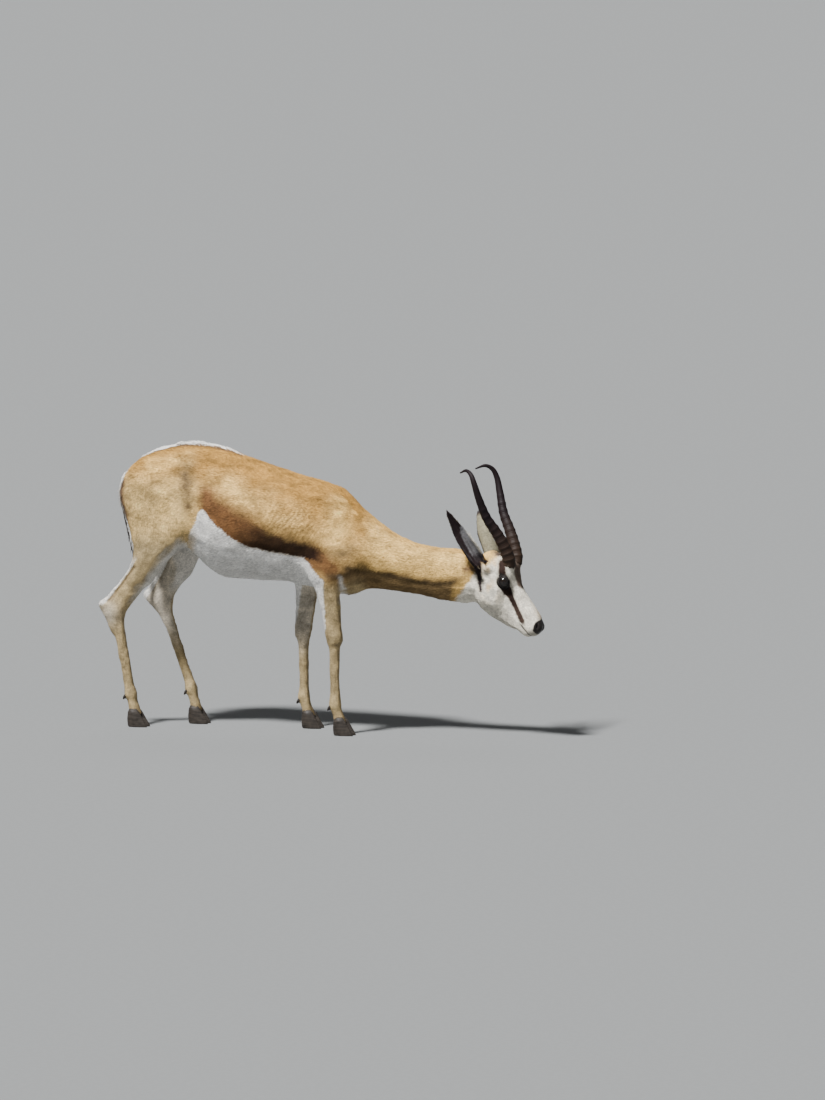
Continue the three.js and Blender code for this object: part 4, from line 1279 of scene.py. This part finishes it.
class SPRINGBOK_OT_skin(bpy.types.Operator):
    """Make one skin that replaces the head, neck, trunk, tail, ears and legs."""

    bl_idname = "springbok.make_skin"
    bl_label = "Skin"

    def execute(self, context):
        sizes = context.scene.springbok_sizes
        flesh = [node_shell(name) for name in FLESH_NODES]
        eye_balls = [eye_ball_shell(side) for side in SIDES.values()]
        ears = [ear_shell(name, 1.2, 3.4) for name in SIDES]
        body = join_shells("skin", [*flesh, *eye_balls])
        head = join_shells("head_skin", [*flesh[:2], *eye_balls, *ears])
        voxel_remesh(body, sizes.body_cell)
        voxel_remesh(head, sizes.head_cell)
        for piece, keep_front, limit, rounds in ((body, False, 1.0, 26), (head, True, 0.8, 10)):
            rebuild(piece, keep_largest)
            points = vertex_places(piece.data)
            calm = np.full(len(points), limit)
            if keep_front:
                calm *= np.where((points[:, 2] > 508) & (np.abs(points[:, 1]) > 40), 0.4, 1)
            else:
                calm *= 1 - 0.55 * leg_place(points)[0]
            move_vertices(piece.data, relax(points, edge_ends(piece.data), calm, rounds))
            rebuild(piece, cut_at_neck, keep_front)
        join(body, head)
        rebuild(body, bridge_neck)
        points = vertex_places(body.data)
        seam = smooth_step(26, 6, np.abs(points[:, 0] - NECK_CUT)) * (np.abs(points[:, 2] - 450) < 120)
        move_vertices(body.data, relax(points, edge_ends(body.data), seam, 12))
        for margin in (6, 0):
            rebuild(body, subdivide_where, fine_zone(vertex_places(body.data), margin))
        self.shape(body, sizes.coat_depth * 1000)
        self.paint(body, context.scene.springbok_colours)
        finish_piece(body, "body_coat", *FLESH_NODES, "tail", "ear_left", "ear_right")
        return {"FINISHED"}

    def shape(self, body, depth):
        """Gives the skin its relief, lids and thin ears, and adds the tail."""
        mesh = body.data
        shells = {}
        for name in SIDES:
            shell_points, shell_faces = ear_shell(name, 0.0, 2.3)
            shells[name] = BVHTree.FromPolygons([Vector(p) for p in shell_points], shell_faces)
        points = vertex_places(mesh)
        normals = read(mesh.vertices, "normal", 3)
        parts = dict(zip(("ear", "ear_across", "cup"), ear_fields(points, normals, shells)))
        no_ear = parts["ear"] < 0.01
        points = points - normals * coat_depth_at(points, parts, depth)[:, None]
        points = snap_ears(points, edge_ends(mesh), shells)
        height = np.where(points[:, 0] < 735, body_relief(points, normals), 0)
        on_head = head_share(points) * (points[:, 0] > 700) * no_ear
        height = height * (1 - on_head) + head_relief(points) * on_head
        points = shape_lids(points + normals * (height * no_ear)[:, None])
        move_vertices(mesh, points)
        tail = join_shells("tail_skin", [tail_shell()])
        for name, values in parts.items():
            store(mesh, name, values)
            store(tail.data, name, np.zeros(len(tail.data.vertices)))
        store(mesh, "tail", np.zeros(len(points)))
        store(tail.data, "tail", np.repeat(np.linspace(0, 1, TAIL_RINGS), TAIL_SIDES))
        join(body, tail)

    def paint(self, body, paint):
        """Colours the skin and lays out its baking map."""
        mesh = body.data
        shade_smooth(body)
        points = vertex_places(mesh)
        normals = read(mesh.vertices, "normal", 3)
        parts = {name: fetch(mesh, name) for name in ("ear", "ear_across", "cup", "tail")}
        store_colour(mesh, coat_colour(points, normals, parts, paint))
        store(mesh, "bare", bare_share(points) * (parts["ear"] < 0.02))
        mesh.materials.append(coat_material())
        select_only(body)
        bpy.ops.object.mode_set(mode="EDIT")
        bpy.ops.mesh.select_all(action="SELECT")
        bpy.ops.uv.smart_project(angle_limit=math.radians(66), island_margin=0.002)
        bpy.ops.object.mode_set(mode="OBJECT")
        mesh.uv_layers.active.name = "OFBake"


# Coat
class SkinSampler:
    """Places on the finished skin, with all that a tuft needs to know about them."""

    def __init__(self, mesh):
        mesh.calc_loop_triangles()
        self.corners = read(mesh.loop_triangles, "vertices", 3, int)
        self.loops = read(mesh.loop_triangles, "loops", 3, int)
        self.points = vertex_places(mesh)
        self.normals = read(mesh.vertices, "normal", 3)
        self.uv = read(mesh.uv_layers["OFBake"].data, "uv", 2)
        self.fields = {name: fetch(mesh, name) for name in ("ear", "ear_across", "cup", "tail", "bare")}
        a, b, c = (self.points[self.corners[:, i]] for i in range(3))
        self.areas = np.linalg.norm(np.cross(b - a, c - a), axis=1) / 2
        self.middles = (a + b + c) / 3
        self.middle_fields = {name: held[self.corners].mean(axis=1) for name, held in self.fields.items()}

    def scatter(self, density, count, rng):
        """Random places, spread evenly by area times density."""
        weights = np.cumsum(self.areas * density)
        spots = (np.arange(count) + rng.random(count)) / count * weights[-1]
        chosen = np.minimum(np.searchsorted(weights, spots), len(weights) - 1)
        first = np.sqrt(rng.random(count))
        second = rng.random(count)
        shares = np.stack([1 - first, first * (1 - second), first * second], axis=1)
        corners = self.corners[chosen]
        mixed = {name: (held[corners] * shares).sum(axis=1) for name, held in self.fields.items()}
        points, normals, uv = (
            (values * shares[..., None]).sum(axis=1)
            for values in (self.points[corners], self.normals[corners], self.uv[self.loops[chosen]])
        )
        return points, unit(normals), uv, mixed


def hair_flow(points, normals, parts):
    """The way the hair lies: backwards on the trunk, down the legs, up the face, out along the ears."""
    x, y, z = points.T
    leg, _, down, _ = leg_place(points)
    along, _, rise = head_frame(points).T
    jaw = smooth_step(10, -40, rise) * smooth_step(170, 90, along)
    flow = plain([-1, 0, 0], len(points))
    flow[:, 2] = -0.55 * (1 - np.abs(normals[:, 2]))
    flow = layered(
        flow,
        ((-0.35, 0, -0.95), smooth_step(-40, -150, x) * smooth_step(740, 600, z)),
        ((-0.55, 0, -0.85), 0.75 * mound(points, (310, 0, 520), (90, 400, 110))),
        (down, leg),
        (blend(-FACE_AHEAD, (-0.95, 0.0, 0.1), 0.7 * jaw), head_share(points) * (x > 690)),
    )
    for name, side in SIDES.items():
        flow = blend(flow, ear_axes(name)[2], smooth_step(0.02, 0.1, parts["ear"]) * (y * side > 0))
    flow = blend(flow, (0.06, 0, -1.0), smooth_step(0.02, 0.08, parts["tail"]))
    flow = flow - normals * (flow * normals).sum(axis=1)[:, None]
    weak = np.linalg.norm(flow, axis=1) < 0.05
    flow[weak] = np.cross(normals[weak], [0.0, 1.0, 0.0])
    return unit(flow)


def turn(flow, normals, angles):
    """Turns directions round the surface normal."""
    return flow * np.cos(angles)[:, None] + np.cross(normals, flow) * np.sin(angles)[:, None]


SHORT_FACES = np.array([[0, 3, 1], [0, 2, 3], [3, 4, 1], [4, 3, 2], [0, 1, 2], [1, 4, 2]])
# Painted shading of each tuft: darker at the root, lighter at the tip.
SHORT_PAINTED_SHADE = np.array([0.75, 0.93, 0.93, 1.0, 1.08])
ROOT_DEPTH = 0.35
LOCK_ROWS = 4
# Painted shading of each lock: darker at the root, lighter at the tip.
LOCK_PAINTED_SHADE = np.concatenate([np.repeat(np.linspace(0.78, 1.0, LOCK_ROWS), 3), [1.1]])
MAP_PATCH_RADIUS = 0.0015


def short_tufts(points, normals, flow, lengths, widths, lift, rng):
    """Flat pointed tufts of five corners each, lying on the skin along the hair's flow."""
    count = len(points)
    flow = turn(flow, normals, rng.normal(0, 0.16, count))
    side = np.cross(normals, flow)
    length = (lengths * rng.uniform(0.75, 1.2, count))[:, None]
    half = (widths * rng.uniform(0.7, 1.15, count) / 2)[:, None]
    rise = (lift * rng.uniform(0.4, 1.25, count))[:, None]
    corners = np.stack([
        points - normals * ROOT_DEPTH,
        points + flow * length * 0.38 + side * half + normals * rise * 0.3,
        points + flow * length * 0.38 - side * half + normals * rise * 0.3,
        points + flow * length * 0.45 + normals * (rise * 0.45 + 0.2 + 0.25 * half),
        points + flow * length + normals * rise,
    ], axis=1)
    shading = np.stack([
        normals, normals * 0.9 + side * 0.3, normals * 0.9 - side * 0.3, normals, normals + 0.15 * flow,
    ], axis=1)
    return corners, unit(shading), SHORT_FACES


def long_tufts(normals, paths, widths, rng):
    """Locks of three-sided rows along curved paths, closed at the root and pointed at the tip."""
    rings = []
    for share in np.linspace(0, 1, LOCK_ROWS + 1)[:-1]:
        here = paths(share)
        ahead = unit(paths(share + 0.05) - here)
        side = unit(np.cross(normals, ahead))
        up = np.cross(ahead, side)
        half = (widths / 2 * (0.55 + 1.2 * share) * (1 - share) ** 0.55)[:, None]
        rings += [here + side * half, here - side * half, here + up * half * 0.7]
    corners = np.stack([*rings, paths(1.0)], axis=1)
    faces = [[0, 1, 2]]
    top = (LOCK_ROWS - 1) * 3
    for low, (a, b) in itertools.product(range(0, top, 3), ((0, 2), (2, 1), (1, 0))):
        faces += [[low + a, low + b, low + b + 3], [low + a, low + b + 3, low + a + 3]]
    faces += [[top, top + 2, top + 3], [top + 2, top + 1, top + 3], [top + 1, top, top + 3]]
    shading = np.repeat(normals[:, None], corners.shape[1], axis=1)
    bend = corners - corners.mean(axis=1, keepdims=True)
    return corners, unit(shading + 0.02 * rng.random(len(normals))[:, None, None] * bend), np.array(faces)


def coat_piece(name, tufts, uv, colours, shade, slot):
    """One mesh of many tufts, with the baking map, the coat's colours under painted shading from root to
    tip, and soft shading.
    """
    corners, shading, faces = tufts
    count, corner_count = corners.shape[:2]
    all_faces = (faces[None] + np.arange(count)[:, None, None] * corner_count).reshape(-1, 3)
    mesh = mesh_of(name, corners.reshape(-1, 3), all_faces)
    spread = circle(corner_count)
    patch_round = np.stack([np.cos(spread), np.sin(spread)], axis=1) * MAP_PATCH_RADIUS
    store_map(mesh, "OFBake", (uv[:, None] + patch_round[None]).reshape(-1, 2))
    store_colour(mesh, (colours[:, None] * shade[None, :, None]).reshape(-1, 3))
    store(mesh, "bare", np.zeros(count * corner_count))
    mesh.polygons.foreach_set("use_smooth", np.ones(len(mesh.polygons), bool))
    mesh.normals_split_custom_set_from_vertices(shading.reshape(-1, 3).astype(np.float32))
    mesh.materials.append(coat_material())
    return finish_piece(add_object(name, mesh), slot)


def tuft_lengths(points, parts, full):
    """Length of the short tufts from place to place, in millimetres."""
    low = smooth_step(420, 200, points[:, 2])
    along, _, rise = head_frame(points).T
    face = np.interp(along, [-20, 60, 130, 225], [9.5, 7, 5.5, 3.4]) + 2.0 * smooth_step(-20, -60, rise)
    length = full * (1 + 0.25 * smooth_step(-0.3, -0.8, -np.abs(points[:, 2] - 430) / 60))
    length = length + (full * (0.82 - 0.36 * low) - length) * leg_place(points)[0]
    length = length + (face - length) * (head_share(points) * (points[:, 0] > 690))
    return np.where(parts["ear"] > 0.03, 5.5, length)


def grow_short(name, sampler, density, count, seed, slot, scene):
    """Covers a part of the skin with short tufts that lie flat."""
    sizes = scene.springbok_sizes
    rng = np.random.default_rng(seed)
    points, normals, uv, parts = sampler.scatter(density, count, rng)
    keep = (parts["bare"] < 0.35) & (points[:, 2] > 34)
    points, normals, uv = points[keep], normals[keep], uv[keep]
    parts = {key: values[keep] for key, values in parts.items()}
    flow = hair_flow(points, normals, parts)
    full = sizes.tuft_length * 1000
    lengths = tuft_lengths(points, parts, full)
    widths = sizes.tuft_width * 1000 * (0.35 + 0.65 * lengths / full)
    tufts = short_tufts(points, normals, flow, lengths, widths, 0.35 + 0.16 * lengths, rng)
    middles = points + flow * (0.55 * lengths)[:, None]
    colours = coat_colour(middles, normals, parts, scene.springbok_colours)
    colours = colours * rng.uniform(0.8, 1.18, (len(points), 1))
    return coat_piece(name, tufts, uv, colours, SHORT_PAINTED_SHADE, slot)


def grow_locks(name, sampler, density, count, seed, slot, scene, length, width, lift, droop):
    """Longer locks that rise from the skin and bend over with the flow."""
    rng = np.random.default_rng(seed)
    points, normals, uv, parts = sampler.scatter(density, count, rng)
    flow = turn(hair_flow(points, normals, parts), normals, rng.normal(0, 0.2, len(points)))
    lengths = (length(points, parts) * rng.uniform(0.7, 1.15, len(points)))[:, None]
    rise = (lift * rng.uniform(0.6, 1.3, len(points)))[:, None]
    fall = np.array([0.0, 0.0, -1.0]) * droop

    def paths(share):
        bend = flow * (share * (1 - 0.3 * rise)) + normals * rise * share * (1.6 - 0.9 * share)
        return points - normals * 0.5 + (bend + fall * share ** 2) * lengths

    tufts = long_tufts(normals, paths, width * rng.uniform(0.7, 1.2, len(points)), rng)
    colours = coat_colour(points, normals, parts, scene.springbok_colours)
    colours = colours * rng.uniform(0.88, 1.1, (len(points), 1))
    return coat_piece(name, tufts, uv, colours, LOCK_PAINTED_SHADE, slot)


class SPRINGBOK_OT_body_coat(bpy.types.Operator):
    """Grow the short coat of trunk, neck and legs."""

    bl_idname = "springbok.make_body_coat"
    bl_label = "Body coat"

    def execute(self, context):
        sampler = SkinSampler(bpy.data.objects["skin"].data)
        fields = sampler.middle_fields
        x, y, z = sampler.middles.T
        leg = leg_place(sampler.middles)[0]
        haired = (fields["ear"] < 0.01) & (fields["tail"] < 0.01) & (fields["bare"] < 0.35) & (z > 30)
        count = context.scene.springbok_sizes.tuft_count
        trunk = haired & (x < 400) & (leg < 0.6)
        areas = []
        for number, ((name, side), rear) in enumerate(itertools.product(SIDES.items(), (True, False))):
            part = trunk & (y * side >= 0) & ((x < 60) == rear)
            areas.append((f"coat_{'rear' if rear else 'shoulder'}_{name}", part, count, 20 + number))
        areas.append(("coat_neck", haired & (x >= 400) & (head_share(sampler.middles) < 0.5), count, 30))
        for number, name in enumerate(("foreleg", "hindleg")):
            part = haired & (leg >= 0.6) & ((x > 60) == (name == "foreleg"))
            density = part * (1 + 0.8 * smooth_step(420, 200, z))
            areas.append((f"coat_{name}s", density, int(count * 0.92), 40 + number))
        for name, density, tuft_count, seed in areas:
            grow_short(name, sampler, density.astype(float), tuft_count, seed, "body_coat", context.scene)
        return {"FINISHED"}


class SPRINGBOK_OT_face_coat(bpy.types.Operator):
    """Grow the fine short coat of the head and the ears."""

    bl_idname = "springbok.make_face_coat"
    bl_label = "Face and ear coat"

    def execute(self, context):
        sampler = SkinSampler(bpy.data.objects["skin"].data)
        fields = sampler.middle_fields
        count = context.scene.springbok_sizes.tuft_count
        head = (fields["ear"] < 0.03) & (fields["bare"] < 0.35) & (head_share(sampler.middles) >= 0.5)
        head = head & (sampler.middles[:, 0] > 690)
        place = head_frame(sampler.middles)
        seen = np.linalg.norm(place - EYE_CENTRE, axis=1) >= EYE_OPENING_RADIUS - 0.5
        density = head * seen * np.interp(place[:, 0], [0, 120, 240], [1.0, 1.35, 2.4])
        grow_short("coat_head", sampler, density, int(count * 1.1), 50, "face_coat", context.scene)
        ears = (fields["ear"] >= 0.03) * (1 - 0.75 * fields["cup"])
        grow_short("coat_ears", sampler, ears, int(count * 0.5), 51, "ear_coat", context.scene)
        return {"FINISHED"}


# Length of the locks: along the crest by x, along the tail by the share of its length, and elsewhere
CREST_X = [-290, -253, -200, -188, -156, -140, -90, -20, 30]
CREST_LENGTHS = [20, 21, 16, 6, 6, 18, 21, 18, 8]
TAIL_HAIR_PLACES = [0, 0.4, 0.62, 1]
TAIL_HAIR_LENGTHS = [11, 9, 13, 30]
BELLY_LENGTH = 17.0
THROAT_LENGTH = 12.0


class SPRINGBOK_OT_long_hair(bpy.types.Operator):
    """Grow the crest of the rump, the fringes of belly, throat and ears, and the tail."""

    bl_idname = "springbok.make_long_hair"
    bl_label = "Long hair"

    def execute(self, context):
        sampler = SkinSampler(bpy.data.objects["skin"].data)
        points = sampler.middles
        fields = sampler.middle_fields
        ear, tail = fields["ear"], fields["tail"]
        x, y, z = points.T
        side = np.abs(y)
        leg = leg_place(points)[0]
        trunk = (ear < 0.01) & (tail < 0.01)
        crest = trunk & (x < 64) & (z > 560) & (side < rump_width(points) + 1) & (leg < 0.2)
        crest = (crest & ((z > 700) | (x < -240))) * smooth_step(66, 10, x)
        under = trunk & (z < 470) & (side < 60) & (x > -60) & (x < 400) & (leg < 0.3)
        rim = (ear > 0.1) & (ear < 0.9) & (fields["cup"] > 0.4)
        rim = rim * (0.25 + smooth_step(0.3, 0.8, np.abs(fields["ear_across"])))
        throat = trunk & (x > 660) & (z < 470) & (sampler.normals[sampler.corners[:, 0], 2] < -0.2)
        throat = throat * smooth_step(870, 780, x)
        tail = (tail > 0.02) * (0.35 + tail)
        # name, where, how many, seed, finish, length, width, lift and droop
        for name, where, count, seed, slot, *form in (
            ("crest_hair", crest, 4200, 60, "body_coat",
             lambda p, _: np.interp(p[:, 0], CREST_X, CREST_LENGTHS), 2.3, 0.42, 0.1),
            ("belly_hair", under.astype(float), 2600, 61, "body_coat",
             lambda p, _: np.full(len(p), BELLY_LENGTH), 2.3, 0.22, 0.0),
            ("tail_hair", tail, 3300, 62, "tail_coat",
             lambda _, parts: np.interp(parts["tail"], TAIL_HAIR_PLACES, TAIL_HAIR_LENGTHS), 1.9, 0.16, 0.2),
            ("ear_hair", rim, 1300, 63, "ear_coat",
             lambda _, parts: 9 + 9 * smooth_step(0.75, 0.3, parts["ear"]), 1.45, 0.3, 0.0),
            ("throat_hair", throat, 1600, 64, "face_coat",
             lambda p, _: np.full(len(p), THROAT_LENGTH), 1.95, 0.2, 0.1),
        ):
            grow_locks(name, sampler, where, count, seed, slot, context.scene, *form)
        return {"FINISHED"}


class SPRINGBOK_OT_eyes(bpy.types.Operator):
    """Make the two eyes, each with a clear bulge and a level pupil."""

    bl_idname = "springbok.make_eyes"
    bl_label = "Eyes"

    def execute(self, context):
        material = eye_material()
        for name, side in SIDES.items():
            bpy.ops.mesh.primitive_uv_sphere_add(
                segments=56, ring_count=36, radius=EYE_BALL_RADIUS / 1000, location=(0, 0, 0))
            eye = bpy.context.object
            eye.name = f"eyeball_{name}"
            mesh = eye.data
            local = read(mesh.vertices, "co", 3) * 1000
            outward, corner, upward = eye_axes(side)
            turned = local[:, 2:3] * outward + local[:, 0:1] * corner + local[:, 1:2] * upward * side
            bulge = EYE_BULGE * smooth_step(0.62, 0.9, local[:, 2] / EYE_BALL_RADIUS)
            turned = turned * (1 + bulge / EYE_BALL_RADIUS)[:, None]
            move_vertices(mesh, turned + head_point(EYE_CENTRE[0], side * EYE_CENTRE[1], EYE_CENTRE[2]))
            store_map(mesh, "gaze", np.stack([local[:, 0], local[:, 1] * side], axis=1) / 12)
            shade_smooth(eye)
            mesh.materials.append(material)
            finish_piece(eye, "eye", f"eye_{name}")
        return {"FINISHED"}


class SPRINGBOK_OT_horns(bpy.types.Operator):
    """Make the two ringed horns."""

    bl_idname = "springbok.make_horns"
    bl_label = "Horns"

    def execute(self, context):
        material = horn_material()
        shares = np.linspace(0, 1, 300)
        taper = np.interp(shares, HORN_SIZE_PLACES, HORN_SIZES)
        taper = np.convolve(np.pad(taper, 12, mode="edge"), np.ones(25) / 25, mode="valid")
        ringed = (shares - HORN_RINGED_FROM) / (HORN_RINGED_LENGTH - HORN_RINGED_FROM)
        phase = np.clip(ringed, 0, 1) ** (1 / 1.15) * HORN_RINGS
        crest = 0.5 - 0.5 * np.cos(2 * math.pi * phase)
        fade = smooth_step(0.03, 0.09, shares)
        fade = fade * smooth_step(HORN_RINGED_LENGTH + 0.02, HORN_RINGED_LENGTH - 0.1, shares)
        ridge = (1.5 * crest ** 2.2 - 0.5) * (1 - 0.6 * shares) * fade
        lines = 0.22 * np.sin(phase * 2 * math.pi * 4.0) * fade
        wide, deep = (base * taper + ridge + lines for base in (HORN_BASE_WIDTH, HORN_BASE_DEPTH))
        sides = 32
        angles = circle(sides)
        flutes = 0.012 * np.sin(9 * angles) + 0.008 * np.sin(17 * angles + 1)
        ripple = np.outer(1 - 0.5 * shares, flutes)
        around = np.tile(0.5 - 0.5 * np.cos(angles), len(shares))
        grain = np.stack([around, np.repeat(shares, sides)], axis=1)
        for name, side in SIDES.items():
            line = [(x, side * y, z) for x, y, z in HORN_LINE]
            tube = closed_tube(swept_rings(line, shares, sides, wide, deep, ripple))
            horn = join_shells(f"horn_ringed_{name}", [tube])
            store_map(horn.data, "grain", grain)
            shade_smooth(horn)
            horn.data.materials.append(material)
            finish_piece(horn, "horn", f"horn_{name}")
        return {"FINISHED"}


def claw_shell(middle, sole_x, stations=16, sides=32):
    """One claw from its flat sole up into the skin: pointed at the toe, round at the heel."""
    forward = np.cos(circle(sides))
    rings = []
    for z in np.concatenate([[0, 0.4, 1.2], np.linspace(2.5, CLAW_HEIGHTS[-1], stations)]):
        edge = 1 - 0.05 * max(1 - z / 1.2, 0) ** 2
        length = np.interp(z, CLAW_HEIGHTS, CLAW_LENGTHS) * edge + 0.25 * math.sin(z * 1.3)
        half = np.interp(z, CLAW_HEIGHTS, CLAW_HALF_WIDTHS) * edge + 0.12 * math.sin(z * 1.3)
        width = half * np.sin(circle(sides)) * np.where(forward > 0, 1 - 0.35 * forward, 1)
        x = sole_x + np.interp(z, CLAW_HEIGHTS, CLAW_SHIFTS) + forward * length / 2
        rings.append(np.stack([x, middle + width, np.full(sides, z)], axis=1))
    return closed_tube(np.array(rings))


def dewclaw_shell(y, fetlock_x, fetlock_z):
    """One small claw behind the fetlock."""
    path = [(fetlock_x - back, y, fetlock_z - down) for back, down in ((8, 5), (15, 10), (19, 17))]
    shares = np.linspace(0, 1, 12)
    half = DEWCLAW_HALF_WIDTH * (1 - 0.62 * shares ** 1.5)
    return closed_tube(swept_rings(path, shares, 16, half, half * 0.9))


class SPRINGBOK_OT_hooves(bpy.types.Operator):
    """Make the claws and dewclaws of the four feet."""

    bl_idname = "springbok.make_hooves"
    bl_label = "Hooves"

    def execute(self, context):
        material = hoof_material()
        for name, (side, line) in LEG_LINES.items():
            across = LEG_SIDEWAYS[name.split("_")[0]]
            claws = [side * (across + offset) for offset in (-CLAW_OFFSET, CLAW_OFFSET)]
            dewclaws = [side * (across + offset) for offset in (-DEWCLAW_OFFSET, DEWCLAW_OFFSET)]
            shells = [claw_shell(middle, line[-1][0]) for middle in claws]
            shells += [dewclaw_shell(middle, *line[-3]) for middle in dewclaws]
            hoof = join_shells(f"hooves_{name}", shells)
            shade_smooth(hoof)
            hoof.data.materials.append(material)
            parts = itertools.product(("claw", "dewclaw"), ("inner", "outer"))
            finish_piece(hoof, "hoof", *(f"{name}_{kind}_{place}" for kind, place in parts))
        return {"FINISHED"}


def direction(azimuth, elevation):
    """The way from the animal towards a lamp or the camera."""
    level = math.cos(elevation)
    return Vector((math.sin(azimuth) * level, -math.cos(azimuth) * level, math.sin(elevation)))


def aim(item, back):
    """Points a light or the camera against the way that leads to it."""
    item.rotation_mode = "QUATERNION"
    item.rotation_quaternion = (-back).to_track_quat("-Z", "Y")


class SPRINGBOK_OT_stage(bpy.types.Operator):
    """Make the floor, the soft lights and the camera."""

    bl_idname = "springbok.make_stage"
    bl_label = "Stage"

    def execute(self, context):
        bpy.ops.mesh.primitive_plane_add(size=400, location=(0, 0, 0))
        floor = bpy.context.object
        floor.name = "floor"
        material, tree, shader = new_material("pale_floor")
        grain = add_noise(tree, add_node(tree, "TexCoord", "Object"), (1, 1, 1), 60, 5)
        ramp = add_ramp(tree, grain, (0, (0.165, 0.17, 0.17)), (1, (0.195, 0.20, 0.20)))
        set_inputs(tree, shader, {"Base Color": ramp, "Roughness": 0.9})
        floor.data.materials.append(material)
        world = bpy.data.worlds.new("studio")
        context.scene.world = world
        world.use_nodes = True
        backdrop = world.node_tree.nodes["Background"]
        backdrop.inputs["Color"].default_value = (0.80, 0.84, 0.90, 1)
        backdrop.inputs["Strength"].default_value = 0.13
        for azimuth, elevation, softness, power in LIGHTS:
            back = direction(math.radians(azimuth), math.radians(elevation))
            bpy.ops.object.light_add(type="SUN", location=Vector((0, 0, 0.4)) + back * 5)
            light = bpy.context.object
            aim(light, back)
            light.data.angle = math.radians(softness)
            light.data.energy = power
        self.add_camera(context.scene)
        return {"FINISHED"}

    def add_camera(self, scene):
        """Stands the camera where the photo was taken from, far off on a long lens."""
        a, e = PHOTO_AZIMUTH, PHOTO_ELEVATION
        right = Vector((math.cos(a), math.sin(a), 0))
        up = Vector((-math.sin(a) * math.sin(e), math.cos(a) * math.sin(e), math.cos(e)))
        back = direction(a, e)
        target = right * PHOTO_CENTRE[0] / 1000 + up * PHOTO_CENTRE[1] / 1000 + back * CAMERA_PLANE
        camera = bpy.data.objects.new("camera", bpy.data.cameras.new("camera"))
        scene.collection.objects.link(camera)
        camera.location = target + Vector(SHIFT / 1000) + back * CAMERA_DISTANCE
        aim(camera, back)
        camera.data.sensor_width = 36
        camera.data.lens = 36 * CAMERA_DISTANCE / PHOTO_HEIGHT
        camera.data.clip_end = 400
        scene.camera = camera


OPERATORS = (
    SPRINGBOK_OT_skin, SPRINGBOK_OT_body_coat, SPRINGBOK_OT_face_coat, SPRINGBOK_OT_long_hair,
    SPRINGBOK_OT_eyes, SPRINGBOK_OT_horns, SPRINGBOK_OT_hooves, SPRINGBOK_OT_stage,
)


class SPRINGBOK_PT_looks(bpy.types.Panel):
    """Sizes, colours and the buttons that make each piece."""

    bl_idname = "SPRINGBOK_PT_looks"
    bl_label = "Springbok"
    bl_space_type = "VIEW_3D"
    bl_region_type = "UI"
    bl_category = "Springbok"

    def draw(self, context):
        for group in (context.scene.springbok_sizes, context.scene.springbok_colours):
            box = self.layout.box()
            for name in group.bl_rna.properties.keys():
                if name not in ("rna_type", "name"):
                    box.prop(group, name)
        for operator in OPERATORS:
            self.layout.operator(operator.bl_idname)


CLASSES = (SpringbokSizes, SpringbokColours, *OPERATORS, SPRINGBOK_PT_looks)


def register():
    for item in CLASSES:
        bpy.utils.register_class(item)
    bpy.types.Scene.springbok_sizes = PointerProperty(type=SpringbokSizes)
    bpy.types.Scene.springbok_colours = PointerProperty(type=SpringbokColours)


def unregister():
    del bpy.types.Scene.springbok_colours
    del bpy.types.Scene.springbok_sizes
    for item in reversed(CLASSES):
        bpy.utils.unregister_class(item)


def main():
    register()
    for name in (
        "make_skin", "make_body_coat", "make_face_coat", "make_long_hair",
        "make_eyes", "make_horns", "make_hooves", "make_stage",
    ):
        getattr(bpy.ops.springbok, name)()


if __name__ == "__main__":
    main()
